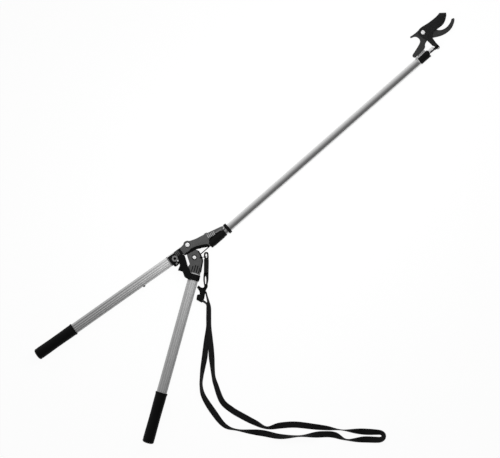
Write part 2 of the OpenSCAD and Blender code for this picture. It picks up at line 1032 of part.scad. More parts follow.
// Route of the strap in its own frame: across, down, height above the floor and twist from flat
strap_route = [
    [60, -154, 15, 90], [64, -170, 14, 90], [69, -188, 13, 86], [71, -208, 12, 52], [72, -240, 11, 40],
    [76, -290, 12, 45], [82, -342, 12, 50], [84, -397, 11.5, 60], [93, -461, 9, 35], [114, -516, 8, 20],
    [146, -545, 5, 5], [183, -567, 3, 0], [224, -590, 6, 30], [256, -606, 10, 65], [302, -597, 4, 10],
    [357, -594, 3, 0], [421, -601, 5, 20], [467, -606, 8, 40], [527, -615, 10.5, 70], [582, -617, 4, 10],
    [628, -619, 7, 35], [655, -631, 11.5, 85], [637, -645, 7, 145], [586, -643, 3, 175], [532, -645, 10, 115],
    [485, -628, 4, 170], [444, -626, 3, 180], [376, -631, 11.5, 260], [307, -633, 8, 220],
    [247, -622, 3, 180], [169, -612, 11, 100], [123, -597, 8, 140], [86, -553, 3, 180],
    [54, -502, 8, 220], [45, -479, 11.5, 260], [40, -443, 10, 240], [43, -405, 9, 220],
    [54, -342, 5, 200], [64, -281, 4, 200], [70, -240, 4, 215], [70, -212, 8, 235],
    [65, -196, 12, 266], [54, -187, 13, 270]
];

module strap_webbing() {
    last = len(strap_route) - 1;
    per_span = 2;
    line = [
        for (i = [0:last - 1], k = [0:per_span - 1])
            glide(
                strap_route[max(i - 1, 0)], strap_route[i], strap_route[i + 1],
                strap_route[min(i + 2, last)], k / per_span
            ),
        strap_route[last]
    ];
    count = len(line);
    rings = [
        for (i = [0:count - 1])
            let (
                here = line[i],
                ahead = line[min(i + 1, count - 1)] - line[max(i - 1, 0)],
                side = unit([-ahead.y, ahead.x, 0]),
                wide = side * cos(here[3]) + [0, 0, sin(here[3])],
                thick = [0, 0, cos(here[3])] - side * sin(here[3]),
                lift = strap_w / 2 * abs(sin(here[3])) + strap_t / 2 * abs(cos(here[3])) + 0.2,
                mid = [here.x, here.y, max(here.z, lift)]
            )
            each [
                mid + wide * strap_w / 2 + thick * strap_t / 2,
                mid - wide * strap_w / 2 + thick * strap_t / 2,
                mid - wide * strap_w / 2 - thick * strap_t / 2,
                mid + wide * strap_w / 2 - thick * strap_t / 2
            ]
    ];
    walls = [
        for (i = [0:count - 2], k = [0:3])
            let (a = i * 4 + k, b = i * 4 + (k + 1) % 4)
            each [[a, b + 4, b], [a, a + 4, b + 4]]
    ];
    color(webbing_black)
        strap_frame()
            polyhedron(rings, concat(walls, [[0, 1, 2, 3], [for (k = [3:-1:0]) (count - 1) * 4 + k]]));
}

pole_tube();
bumper_ring();
pole_body();
pole_screw();
clamp_screw();
cable_guide();
rear_socket();
socket_bolt();
socket_rivet_upper();
socket_rivet_lower();
upper_handle_tube();
upper_handle_rivet();
upper_grip();
handle_bumper();
main_pivot_bolt();
main_pivot_washer();
main_pivot_nut();
head_bracket();
head_cover();
head_rivet_lower();
head_rivet_upper();
hook_plate();
blade_pivot_bolt();
blade_pivot_nut();
spring_seat();
return_spring();
lever_socket();
lever_front_plate();
lever_rear_plate();
lever_bush();
lever_spacer();
cable_cam();
anchor_bolt();
anchor_washer();
anchor_nut();
lever_rivet_left();
lever_rivet_right();
lower_handle_tube();
lower_handle_rivet();
lower_grip();
cable_tail();
strap_ring();
strap_tab();
strap_hook();
strap_slider();
strap_webbing();
pull_cable();
cable_stop();
cable_fork();
fork_pin();
cutting_blade();
blade_bush();
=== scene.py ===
import json
import math

import bmesh
import bpy
import numpy as np
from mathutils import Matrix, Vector, geometry

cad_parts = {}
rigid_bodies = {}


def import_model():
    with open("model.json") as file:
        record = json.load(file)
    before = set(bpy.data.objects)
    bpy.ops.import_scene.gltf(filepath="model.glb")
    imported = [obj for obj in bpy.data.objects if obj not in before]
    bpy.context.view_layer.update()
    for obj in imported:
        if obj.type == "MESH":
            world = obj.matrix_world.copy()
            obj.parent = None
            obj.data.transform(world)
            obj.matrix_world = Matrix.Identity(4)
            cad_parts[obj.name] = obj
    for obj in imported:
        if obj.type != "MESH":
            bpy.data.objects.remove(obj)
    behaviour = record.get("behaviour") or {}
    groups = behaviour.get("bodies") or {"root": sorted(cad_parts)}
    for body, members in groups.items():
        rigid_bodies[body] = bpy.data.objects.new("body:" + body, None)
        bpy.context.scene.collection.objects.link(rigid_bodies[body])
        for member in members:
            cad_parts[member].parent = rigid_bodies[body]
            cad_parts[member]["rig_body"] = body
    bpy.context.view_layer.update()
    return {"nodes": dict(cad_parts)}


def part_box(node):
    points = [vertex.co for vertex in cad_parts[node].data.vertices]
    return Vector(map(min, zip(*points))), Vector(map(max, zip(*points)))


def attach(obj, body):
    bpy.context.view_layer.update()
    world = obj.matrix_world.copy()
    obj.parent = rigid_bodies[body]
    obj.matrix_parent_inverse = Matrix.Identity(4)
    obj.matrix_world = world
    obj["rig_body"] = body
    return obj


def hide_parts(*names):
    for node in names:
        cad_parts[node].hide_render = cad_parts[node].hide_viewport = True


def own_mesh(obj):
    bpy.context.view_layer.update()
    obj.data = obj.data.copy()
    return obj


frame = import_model()
print("frame:", len(frame["nodes"]), "solids")

mm = 0.001  # m
midHeight = 18.5  # mm, the plane of pole, handles and blade above the ground
scene = bpy.context.scene
scene.view_settings.view_transform = "Standard"

# camera: straight down on the middle of the picture, from so far that nothing leans
view = {"middle": (0.1897, -0.0965), "turn": -41.24, "width": 1.65, "height": 10.0}
lens = bpy.data.cameras.new("viewCamera")
lens.lens = lens.sensor_width * view["height"] / view["width"]
camera = bpy.data.objects.new("viewCamera", lens)
camera.location = (*view["middle"], view["height"] + midHeight * mm)
camera.rotation_euler = (0, 0, math.radians(view["turn"]))
scene.collection.objects.link(camera)
scene.camera = camera


def linear(hexText):
    # sRGB hex to linear RGBA
    value = np.array([int(hexText[i:i + 2], 16) for i in (1, 3, 5)]) / 255
    value = np.where(value <= 0.04045, value / 12.92, ((value + 0.055) / 1.055) ** 2.4)
    return (*value.tolist(), 1.0)


def feed(tree, node, inputs):
    # a node (its first output) or an output is linked to the socket, anything else is set on it
    for key, value in inputs.items():
        if isinstance(value, bpy.types.Node):
            value = value.outputs[0]
        if isinstance(value, bpy.types.NodeSocket):
            tree.links.new(value, node.inputs[key])
        else:
            node.inputs[key].default_value = value
    return node


def add(tree, kind, inputs=None, **settings):
    # one node with its settings, its fixed values and its links
    node = tree.nodes.new(kind)
    for key, value in settings.items():
        setattr(node, key, value)
    return feed(tree, node, inputs or {})


def finish(name, fixed):
    # a material with its shader, whose fixed values sit on its own sockets
    material = bpy.data.materials.new(name)
    material.use_nodes = True
    tree = material.node_tree
    return material, tree, feed(tree, tree.nodes["Principled BSDF"], fixed)


# noise breaks up alike in every finish; its scale is 1000 over the size of its largest lumps in mm
fractal = {"Detail": 3.0, "Roughness": 0.55}
# grey of the painted shade in the handle tubes' flutes and toward their grips
paintedShadeTone = "#4a4a4a"


# drawn and anodised aluminium: satin silver with faint streaks the length of the tube, mixed toward grey
# as painted shade where a point attribute asks for it: in the handles' flutes and toward their grips
def drawnAluminium(name, dark, light, smooth, dull, metal):
    material, tree, shader = finish(name, {"Metallic": metal})
    where = add(tree, "ShaderNodeUVMap").outputs[0]
    run = add(tree, "ShaderNodeMapping", {0: where, 3: (0.02, 1.0, 1.0)})
    # die lines are about 0.2 mm; drawn ten times as coarse to show, over clouds of 45 mm
    streak = add(tree, "ShaderNodeTexNoise", {"Vector": run, "Scale": 1000 / 2.2, **fractal})
    cloud = add(tree, "ShaderNodeTexNoise", {"Vector": where, "Scale": 1000 / 45, **fractal})
    both = add(tree, "ShaderNodeMix", {0: 0.5, 2: streak, 3: cloud})
    clean = add(tree, "ShaderNodeMix", {0: both, 6: linear(dark), 7: linear(light)}, data_type="RGBA").outputs[2]
    # painted shade: a point attribute mixes the colour toward that grey
    paintedShade = add(tree, "ShaderNodeAttribute", attribute_name="paintedShade").outputs["Fac"]
    shadedColour = add(tree, "ShaderNodeMix", {0: paintedShade, 6: clean, 7: linear(paintedShadeTone)}, data_type="RGBA").outputs[2]
    gloss = add(tree, "ShaderNodeMapRange", {0: both, 3: smooth, 4: dull})
    feed(tree, shader, {"Base Color": shadedColour, "Roughness": gloss})
    return material


handleMetal = drawnAluminium("anodisedAluminium", "#c6c6c6", "#d2d2d2", 0.46, 0.54, 0.3)  # matt anodic skin
poleMetal = drawnAluminium("drawnAluminium", "#d4d4d4", "#dfdfdf", 0.30, 0.38, 1.0)  # bright drawn skin


# powder coat over a zinc casting: slightly pebbled grey, rubbed paler on its edges
def coated(name, dark, light, edge, rough, grain, pebble, fixed):
    material, tree, shader = finish(name, fixed)
    where = add(tree, "ShaderNodeTexCoord").outputs["Object"]
    mottle = add(tree, "ShaderNodeTexNoise", {"Vector": where, "Scale": 1000 / 14, **fractal})
    patch = add(tree, "ShaderNodeTexNoise", {"Vector": where, "Scale": 1000 / 5, **fractal})
    pimple = add(tree, "ShaderNodeTexNoise", {"Vector": where, "Scale": 1000 / grain, **fractal, "Detail": 2.0})
    # rubbed where the surface turns within 0.9 mm and not on flats, in patches
    soft = add(tree, "ShaderNodeBevel", {"Radius": 0.9 * mm}, samples=6)
    flat = add(tree, "ShaderNodeNewGeometry").outputs["Normal"]
    turn = add(tree, "ShaderNodeVectorMath", {0: soft, 1: flat}, operation="DOT_PRODUCT").outputs["Value"]
    worn = add(tree, "ShaderNodeMapRange", {0: turn, 1: 0.99, 2: 0.80, 3: 0.0, 4: 1.0})
    patchy = add(tree, "ShaderNodeMapRange", {0: patch, 3: 0.0, 4: 1.3})
    rub = add(tree, "ShaderNodeMath", {0: worn, 1: patchy}, operation="MULTIPLY")
    base = add(tree, "ShaderNodeMix", {0: mottle, 6: linear(dark), 7: linear(light)}, data_type="RGBA").outputs[2]
    rubbed = add(tree, "ShaderNodeMix", {0: rub, 6: base, 7: linear(edge)}, data_type="RGBA").outputs[2]
    gloss = add(tree, "ShaderNodeMapRange", {0: mottle, 3: rough[0], 4: rough[1]})
    bump = add(tree, "ShaderNodeBump", {"Height": pimple, "Strength": 1.0, "Distance": pebble * mm})
    feed(tree, shader, {"Base Color": rubbed, "Roughness": gloss, "Normal": bump})
    return material


# the paint's pebbles are near 0.6 mm, drawn at 1.6 mm to show
castPaint = coated("powderCoatedCasting", "#3a3a3a", "#474747", "#525252", (0.40, 0.52), 1.6, 0.05,
                   {"IOR": 1.5, "Specular IOR Level": 0.4})
# the same casting, paler and smoother grey: where hands and tools rub it, and as painted highlight on the ridge along
# the clamp
paleWearAndHighlightPaint = coated("paleCastingWearAndHighlight", "#565656", "#686868", "#747474", (0.34, 0.46), 1.6, 0.03,
                     {"IOR": 1.5, "Specular IOR Level": 0.4})
# glass-filled nylon as moulded: flat black with a dry, faintly grey skin
mouldedNylon = coated("glassFilledNylon", "#080808", "#0f0f0f", "#1c1c1c", (0.44, 0.58), 1.2, 0.03,
                      {"IOR": 1.53, "Specular IOR Level": 0.1})
# thermoplastic rubber: matt black with a soft stipple
gripRubber = coated("thermoplasticRubber", "#090909", "#101010", "#161616", (0.54, 0.70), 1.9, 0.10,
                    {"IOR": 1.5, "Specular IOR Level": 0.1})
# phosphated plate steel: dark grey with a dull metal sheen, bare along its sheared edges
hookSteel = coated("phosphatedSteel", "#212121", "#2b2b2b", "#343434", (0.42, 0.58), 2.2, 0.03,
                   {"IOR": 1.6, "Specular IOR Level": 0.3})
# fluoropolymer coat on tool steel: near black and smoother, thin at the edge
bladeCoat = coated("coatedToolSteel", "#101010", "#1a1a1a", "#2c2c2c", (0.34, 0.46), 2.8, 0.02,
                   {"IOR": 1.45, "Specular IOR Level": 0.3})


# bare metals: plated, oxidised, ground and sintered, each with a fine grain in its gloss
def bareMetal(name, dark, light, rough, grain, depth, metal=1.0):
    material, tree, shader = finish(name, {"Metallic": metal})
    where = add(tree, "ShaderNodeTexCoord").outputs["Object"]
    speck = add(tree, "ShaderNodeTexNoise", {"Vector": where, "Scale": 1000 / grain, **fractal})
    fine = add(tree, "ShaderNodeTexNoise", {"Vector": where, "Scale": 1000 / (grain / 3), **fractal})
    base = add(tree, "ShaderNodeMix", {0: speck, 6: linear(dark), 7: linear(light)}, data_type="RGBA").outputs[2]
    gloss = add(tree, "ShaderNodeMapRange", {0: speck, 3: rough[0], 4: rough[1]})
    bump = add(tree, "ShaderNodeBump", {"Height": fine, "Strength": 1.0, "Distance": depth * mm})
    feed(tree, shader, {"Base Color": base, "Roughness": gloss, "Normal": bump})
    return material


zincSteel = bareMetal("zincPlatedSteel", "#c3c3c3", "#dfdfdf", (0.20, 0.34), 6, 0.01)
whiteZinc = bareMetal("passivatedZincSteel", "#dadada", "#e8e8e8", (0.26, 0.40), 6, 0.01, 0.35)  # milky bright
oxideSteel = bareMetal("blackOxideSteel", "#1a1a1a", "#262626", (0.36, 0.50), 5, 0.01)
groundSteel = bareMetal("groundToolSteel", "#343434", "#464646", (0.28, 0.40), 3, 0.01)
ropeSteel = bareMetal("oiledRopeWire", "#242424", "#3a3a3a", (0.36, 0.50), 2, 0.01)
bushBronze = bareMetal("sinteredBronze", "#8a6c3c", "#a98a52", (0.40, 0.55), 2, 0.02)
castAluminium = bareMetal("castAluminium", "#8e8e8e", "#c8c8c8", (0.34, 0.50), 5, 0.04, 0.5)  # blotched as cast

# woven polyester webbing: black herringbone ribs with a dull sheen
weave, tree, shader = finish("wovenPolyesterWebbing", {"Sheen Weight": 0.06, "Sheen Roughness": 0.5,
                                                       "IOR": 1.5, "Specular IOR Level": 0.15})
webbing = {"quarter": 5.25, "slant": 0.9, "yarn": 2.2}  # mm; yarns lie about 1 mm apart, drawn wider to show
flat = add(tree, "ShaderNodeSeparateXYZ", {0: add(tree, "ShaderNodeUVMap")})
across = add(tree, "ShaderNodeMath", {0: flat.outputs[1], 1: webbing["quarter"] * mm}, operation="PINGPONG")
slant = add(tree, "ShaderNodeMath", {0: across, 1: webbing["slant"], 2: flat.outputs[0]}, operation="MULTIPLY_ADD")
phase = add(tree, "ShaderNodeMath", {0: slant, 1: 2 * math.pi / (webbing["yarn"] * mm)}, operation="MULTIPLY")
wave = add(tree, "ShaderNodeMath", {0: phase}, operation="SINE")
yarn = add(tree, "ShaderNodeMath", {0: wave, 1: 0.5, 2: 0.5}, operation="MULTIPLY_ADD")
feed(tree, shader, {
    "Base Color": add(tree, "ShaderNodeMix", {0: yarn, 6: linear("#0c0c0c"), 7: linear("#1b1b1b")},
                      data_type="RGBA").outputs[2],
    "Roughness": add(tree, "ShaderNodeMapRange", {0: yarn, 3: 0.9, 4: 0.72}),
    "Normal": add(tree, "ShaderNodeBump", {"Height": yarn, "Strength": 1.0, "Distance": 0.18 * mm})})
print("finishes:", len(bpy.data.materials))


def gridFaces(rows, cols):
    # quads of a grid; a closed direction repeats its first line, and merging joins it
    i = np.arange(rows * cols).reshape(rows, cols)
    return np.stack([i[:-1, :-1], i[:-1, 1:], i[1:, 1:], i[1:, :-1]], -1).reshape(-1, 4)


def gridShape(rows, u, v):
    # a grid of points in mm as a (points, faces, uv) shape, whose uv runs u mm one way and v mm the other
    uv = np.stack(np.broadcast_arrays(u, v), -1) * mm
    return rows.reshape(-1, 3), gridFaces(*rows.shape[:2]).tolist(), uv.reshape(-1, 2)


def joined(shapes):
    # several (points, faces, uv) shapes as one
    points, faces, uv, start = [], [], [], 0
    for p, f, u in shapes:
        points.append(p)
        uv.append(u)
        faces += [[k + start for k in face] for face in f]
        start += len(p)
    return np.concatenate(points), faces, np.concatenate(uv)


def turned(points, angle, shift):
    # turned about Z by an angle, then moved: from a handle's or the strap's own frame to the part's, in mm
    c, s = math.cos(math.radians(angle)), math.sin(math.radians(angle))
    x, y, z = np.moveaxis(np.asarray(points, float), -1, 0)
    return np.stack([x * c - y * s + shift[0], x * s + y * c + shift[1], z + shift[2]], -1)


def placed(shape, angle, shift):
    # a whole shape turned and moved
    return (turned(shape[0], angle, shift), *shape[1:])


def settle(name, mesh, body, replaced, sharp):
    # seams and poles merged, faces outward, smooth up to the sharp angle, riding on its body
    work = bmesh.new()
    work.from_mesh(mesh)
    bmesh.ops.remove_doubles(work, verts=work.verts, dist=2e-6)
    bmesh.ops.dissolve_degenerate(work, edges=work.edges, dist=1e-7)
    bmesh.ops.recalc_face_normals(work, faces=work.faces)
    work.to_mesh(mesh)
    work.free()
    mesh.shade_smooth()
    mesh.set_sharp_from_angle(angle=math.radians(sharp))
    piece = bpy.data.objects.new(name, mesh)
    scene.collection.objects.link(piece)
    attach(piece, body)
    if replaced:
        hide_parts(*replaced)
    return piece


def makePiece(name, shape, body, materials, replaced=(), pick=None, sharp=38, paintedShade=None):
    # shape = (points in mm, faces, uv in metres) becomes one merged, outward-facing mesh at the origin
    points, faces, uv = shape
    mesh = bpy.data.meshes.new(name)
    mesh.from_pydata((np.asarray(points) * mm).tolist(), [], [list(f) for f in faces])
    corner = np.empty(len(mesh.loops), int)
    mesh.loops.foreach_get("vertex_index", corner)
    mesh.uv_layers.new(name="UVMap").data.foreach_set("uv", np.asarray(uv)[corner].astype(np.float32).ravel())
    for material in materials:
        mesh.materials.append(material)
    if pick is not None:
        mesh.polygons.foreach_set("material_index", np.asarray(pick, np.int32))
    # a point attribute of painted shade, read by the aluminium finish
    if paintedShade is not None:
        mesh.attributes.new("paintedShade", "FLOAT", "POINT").data.foreach_set("value", np.asarray(paintedShade, np.float32))
    return settle(name, mesh, body, replaced, sharp)


def roundedCopy(name, node, width, material, sharp=32):
    # the solid's own faces, merged, with every edge rounded by `width` mm
    mesh = frame["nodes"][node].data.copy()
    mesh.materials.clear()
    mesh.materials.append(material)
    work = bmesh.new()
    work.from_mesh(mesh)
    bmesh.ops.remove_doubles(work, verts=work.verts, dist=2e-6)
    bmesh.ops.dissolve_limit(work, angle_limit=math.radians(0.6), verts=work.verts, edges=work.edges)
    work.to_mesh(mesh)
    work.free()
    piece = settle(name, mesh, frame["nodes"][node]["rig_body"], (node,), sharp)
    bevel = piece.modifiers.new("roundEdges", "BEVEL")
    bevel.width = width * mm
    bevel.segments = 3
    bevel.limit_method = "ANGLE"
    bevel.angle_limit = math.radians(sharp)
    bevel.harden_normals = True
    return piece


def eased(corners, reach, steps=6, closed=True):
    # each corner becomes a quadratic curve that begins and ends `reach` from it, at most 0.45 of an edge
    p = np.asarray(corners, float)
    t = np.linspace(0, 1, steps)[None, :, None]
    ends = []
    for other in (np.roll(p, 1, 0), np.roll(p, -1, 0)):
        long = np.linalg.norm(other - p, axis=1, keepdims=True)
        ends.append((p + (other - p) * np.minimum(reach / np.maximum(long, 1e-9), 0.45))[:, None])
    curve = ends[0] * (1 - t) ** 2 + 2 * p[:, None] * t * (1 - t) + ends[1] * t ** 2
    if closed:
        return curve.reshape(-1, 2)
    return np.concatenate([p[:1], curve[1:-1].reshape(-1, 2), p[-1:]])


def easedRing(corners, reach):
    # an eased profile that comes back to its first point, for a ring turned on the lathe
    profile = eased(corners, reach)
    return np.concatenate([profile, profile[:1]])


def spline(points, per):
    # smooth pass through every point: a cubic on each span, whose slope at a point is half the step between its
    # neighbours, with `per` samples a span
    p = np.asarray(points, float)
    q = np.concatenate([p[:1], p, p[-1:]])
    a, b, c, d = (q[i:len(q) - 3 + i][:, None] for i in range(4))
    t = np.linspace(0, 1, per, endpoint=False)[None, :, None]
    curve = 0.5 * (2 * b + (c - a) * t + (2 * a - 5 * b + 4 * c - d) * t ** 2 + (3 * b - a - 3 * c + d) * t ** 3)
    return np.concatenate([curve.reshape(-1, p.shape[1]), p[-1:]])


def leftOf(line):
    # unit vectors to the left of a flat line, square to its slope at each point
    ahead = np.gradient(line, axis=0)
    return np.stack([-ahead[:, 1], ahead[:, 0]], 1) / np.linalg.norm(ahead, axis=1)[:, None]


def walkedLength(line):
    # distance walked along a line at each of its points
    return np.concatenate([[0], np.cumsum(np.linalg.norm(np.diff(line, axis=0), axis=1))])


def capsule(a, b, r, count=10):
    # outline of a rounded bar: half a circle round b, then half a circle round a
    a, b = np.asarray(a, float), np.asarray(b, float)
    turn = np.linspace(-np.pi / 2, np.pi / 2, count) + math.atan2(*(b - a)[::-1])
    bow = r * np.stack([np.cos(turn), np.sin(turn)], 1)
    return np.concatenate([b + bow, a - bow])


def circle(centre, r, count=40):
    # points at even angles round a centre
    turn = np.linspace(0, 2 * np.pi, count, endpoint=False)
    return np.asarray(centre, float) + r * np.stack([np.cos(turn), np.sin(turn)], 1)


def inset(outline, depth):
    # every point moved inward along the mitre of its two edges; depth may differ from point to point
    step = np.roll(outline, -1, 0) - outline
    normal = np.stack([-step[:, 1], step[:, 0]], 1) / np.maximum(np.linalg.norm(step, axis=1), 1e-9)[:, None]
    before = np.roll(normal, 1, 0)
    mitre = (before + normal) / np.maximum(1 + (before * normal).sum(1), 0.35)[:, None]
    return outline + mitre * np.broadcast_to(np.asarray(depth, float), len(outline))[:, None]


def anticlockwise(outline):
    # the outline itself where its signed area is positive, otherwise from its last point to its first
    x, y = outline.T
    return outline if (x * np.roll(y, -1) - y * np.roll(x, -1)).sum() > 0 else outline[::-1]


def rim(low, high, bottom, top, steps=4):
    # heights and insets of a wall with its lower and upper edges rounded by these radii
    turn = np.linspace(0, np.pi / 2, steps)
    under = [(low + bottom - bottom * math.cos(a), bottom - bottom * math.sin(a)) for a in turn]
    over = [(high - top + top * math.sin(a), top - top * math.cos(a)) for a in turn]
    return under + over


def plate(outline, levels, holes=(), holeInset=0.5):
    # the outline stacked at every (height, inset), holes widening by the same inset, or by one of their own where
    # the inset is given point by point, and flat caps at both ends
    loops = [anticlockwise(np.asarray(outline, float))] + [anticlockwise(np.asarray(h, float))[::-1] for h in holes]
    walls, caps, start = [], ([], []), 0
    for loop in loops:
        rows = np.stack([np.column_stack([inset(loop, d if np.ndim(d) == 0 or len(d) == len(loop) else holeInset),
                                          np.full(len(loop), z)]) for z, d in levels])
        rows = np.concatenate([rows, rows[:, :1]], 1)
        walls.append(gridShape(rows, walkedLength(rows[0])[None], rows[..., 2]))
        for cap, row in zip(caps, (0, len(levels) - 1)):
            cap.append(np.arange(len(loop)) + start + row * (len(loop) + 1))
        start += rows.shape[0] * rows.shape[1]
    points, faces, uv = joined(walls)
    for cap in caps:
        order = np.concatenate(cap)
        triangles = geometry.tessellate_polygon([[Vector(p) for p in points[c].tolist()] for c in cap])
        faces += order[np.array([list(t) for t in triangles])].tolist()
    return points, faces, uv


def lathe(profile, base, axis="z", turns=64, hexed=None):
    # a profile of (along, radius) turned round an axis; hexed rows keep six flats instead of a circle
    along, radius = np.asarray(profile, float).T
    angle = np.linspace(0, 2 * np.pi, turns + 1)
    flats = np.cos(np.pi / 6) / np.cos(np.mod(angle, np.pi / 3) - np.pi / 6)
    r = radius[:, None] * (np.ones(turns + 1) if hexed is None
                           else np.where(np.asarray(hexed, bool)[:, None], flats, 1.0))
    run = np.repeat(along[:, None], turns + 1, 1)
    c, s = r * np.cos(angle), r * np.sin(angle)
    points = np.stack((c, s, run) if axis == "z" else (run, c, s), -1) + np.asarray(base, float)
    return gridShape(points, run, radius.max() * angle[None])


def ovalSection(count, width, high):
    # round-ended section by its own length: points (across, up), outward normals and length
    r, side = high / 2, width - high
    knots = np.cumsum([0, np.pi * r / 2, side, np.pi * r, side, np.pi * r / 2])
    s = np.linspace(0, knots[-1], count + 1)
    turn = np.interp(s, knots, np.array([0, 0.5, 0.5, 1.5, 1.5, 2]) * np.pi)
    shift = np.interp(s, knots, np.array([1, 1, -1, -1, 1, 1]) * side / 2)
    normal = np.stack([np.cos(turn), np.sin(turn)], 1)
    return np.stack([shift, 0 * s], 1) + r * normal, normal, s


def pointed(rows, first, last):
    # a swept skin whose two ends are drawn to a point
    ends = [np.broadcast_to(np.asarray(p, float), (1, *rows.shape[1:])) for p in (first, last)]
    return np.concatenate([ends[0], rows, ends[1]])


# shoulder strap: one length of webbing from the hook's post, out along the ground and back to the slider
strap = {
    "turn": -41.25, "width": 21.0, "thick": 1.8, "clear": 0.2, "perSpan": 10, "around": 44, "length": 1.94,
    "route": [  # across, down, height, twist from flat, in the strap's own frame
        (60, -154, 15, 78), (64, -170, 14, 76), (68.5, -188, 14, 68), (70.5, -208, 14, 46), (70.3, -240, 14, 40),
        (71, -271, 14, 40), (75.3, -312, 14, 36), (77.8, -340, 14, 28), (79.6, -370, 13, 22), (82.6, -406, 12, 44),
        (86, -435, 10, 52), (93, -461, 9, 38), (114, -516, 8, 20), (146, -545, 5, 5), (183, -567, 3, 0),
        (224, -588, 6, 25), (262, -604, 10, 62), (306, -597, 4, 10), (357, -594, 3, 0), (421, -601, 5, 20),
        (460, -605, 8, 42), (513, -611.5, 11, 80), (582, -617, 4, 8), (620, -618.5, 6, 24), (637, -619.8, 8, 38),
        (645.8, -624.6, 9, 45), (648, -631.5, 9, 46), (645.2, -638.8, 8, 42), (636, -643.4, 7, 30),
        (620, -643.8, 5, 16), (586, -643, 3, -5), (526, -643.5, 10.5, -74), (485, -628, 4, -10), (444, -626, 3, 0),
        (376, -631, 11.5, 80), (307, -633, 8, 40), (247, -622, 3, 0), (169, -612, 11, -71), (123, -597, 8, -40),
        (86, -553, 3, 0), (54, -502, 8, 40), (45, -466, 10.5, 62), (46.6, -435, 10, 57), (50.6, -406, 8, 40),
        (56.6, -370, 5, 24), (60.4, -336, 6, 30), (63.2, -312, 7, 36), (69.2, -271, 8, 40), (69.4, -240, 8, 42),
        (68.6, -212, 9, 52), (64.5, -196, 12, 74), (54, -187, 13, 74), (46.5, -183.5, 13, 74)],
}


def inStrap(shape):
    # from the strap's own frame, which lies square to the picture
    return placed(shape, strap["turn"], (0, 0, 0))


# the section stands across the route, turned by the twist, and lifted so that its lower edge clears the ground
line = spline(strap["route"], strap["perSpan"])
side = np.column_stack([leftOf(line[:, :2]), np.zeros(len(line))])
twist = np.radians(line[:, 3])[:, None]
up = np.array([[0.0, 0.0, 1.0]])
wide, thick = side * np.cos(twist) + up * np.sin(twist), up * np.cos(twist) - side * np.sin(twist)
lift = strap["width"] / 2 * np.abs(np.sin(twist)) + strap["thick"] / 2 * np.abs(np.cos(twist)) + strap["clear"]
middle = np.column_stack([line[:, :2], np.maximum(line[:, 2], lift[:, 0])])
band = ovalSection(strap["around"], strap["width"], strap["thick"])[0]
rings = middle[:, None] + wide[:, None] * band[None, :, :1] + thick[:, None] * band[None, :, 1:]
rings = pointed(rings, middle[0], middle[-1])
walked = walkedLength(middle)
walked = np.concatenate([walked[:1], walked, walked[-1:]])
strapShape = inStrap(gridShape(rings, walked[:, None], band[None, :, 0] + strap["width"] / 2))
strapBand = makePiece("strapBand", strapShape, "lever", [weave], ["strap_webbing"], sharp=70)
print("strap:", round(float(walked[-1]) * mm, 3), "m")

# link through the lever's eye: a round wire carried round an oval that stands on edge
link = {"middle": (52, -40.3, 26.55), "turn": 11, "half": 2.5, "r": 7.5, "wire": 2.4}
loop, loopNormal, loopRun = ovalSection(72, 2 * (link["half"] + link["r"]), 2 * link["r"])
turn = np.linspace(0, 2 * np.pi, 19)
flatRing = loop[:, None] + loopNormal[:, None] * link["wire"] / 2 * np.cos(turn)[None, :, None]
rows = np.stack(np.broadcast_arrays(flatRing[..., 0], -link["wire"] / 2 * np.sin(turn)[None], flatRing[..., 1]), -1)
linkShape = placed(gridShape(rows, loopRun[:, None], turn[None]), link["turn"], link["middle"])
makePiece("strapLink", inStrap(linkShape), "lever", [oxideSteel], ["strap_ring"])

# folded tab of webbing: an eye at each end of a doubled body
tab = [
    {"outline": [(53.6, -38), (55.2, -23.2), (68.8, -23.2), (70.4, -38), (69.6, -50), (57, -50)], "ease": 6,
     "hole": [(59, -38), (60, -28.6), (64, -28.6), (65, -38), (63.6, -42.6), (62.4, -42.6)],
     "low": 21.85, "high": 31.25, "edge": 0.6},
    {"outline": [(53.4, -92), (69.6, -92), (69.4, -116), (65.8, -132), (66.6, -140), (57, -141.5), (54.4, -131),
                 (52.0, -116)], "ease": 6,
     "hole": [(57.8, -104), (60.8, -103), (62.2, -115), (60.8, -131), (58.8, -131), (57.2, -116)],
     "low": 9, "high": 29, "edge": 0.6},
    {"outline": [(54.4, -46), (69.8, -46), (70.4, -52), (69.8, -90), (69.6, -99), (53.4, -99), (54.2, -90),
                 (54.4, -52)], "ease": 3, "low": 9, "high": 29, "edge": 0.9},
]
tabShape = joined([plate(eased(t["outline"], t["ease"]), rim(t["low"], t["high"], t["edge"], t["edge"]),
                         [eased(t["hole"], 5)] if "hole" in t else ()) for t in tab])
makePiece("strapTab", inStrap(tabShape), "lever", [weave], ["strap_tab"])

# snap hook with its pin and post, and the slider that stands on it
hook = {
    "outline": [(57, -129), (66, -129), (67.2, -138), (61, -149.5), (57.2, -166), (54.5, -182), (44.5, -182),
                (40.6, -166), (39.4, -153), (30.6, -140.4), (36, -133.4), (46, -141.4), (53.5, -141)],
    "low": 3.0, "high": 8.2, "pinAt": (62.2, -135.5), "postAt": (57, -152),
    "pin": [(4, 0), (4, 2.1), (29.3, 2.1), (29.3, 4.0), (29.7, 4.4), (31.3, 4.4), (31.7, 4.0), (31.7, 0)],
    "post": [(3, 0), (3, 2.5), (24.4, 2.5), (25, 1.9), (25, 0)],
}
hookShape = joined([plate(eased(hook["outline"], 3), rim(hook["low"], hook["high"], 0.9, 0.9)),
                    lathe(hook["pin"], (*hook["pinAt"], 0), turns=36),
                    lathe(hook["post"], (*hook["postAt"], 0), turns=36)])
makePiece("strapHook", inStrap(hookShape), "lever", [mouldedNylon], ["strap_hook"])
slider = {"outline": [(31.5, -164.5), (44, -162), (52, -171.5), (51.5, -182), (48.5, -191.6), (29, -181.5)],
          "bar": ((36, -170), (46, -184)), "low": 8.3, "high": 17.3}
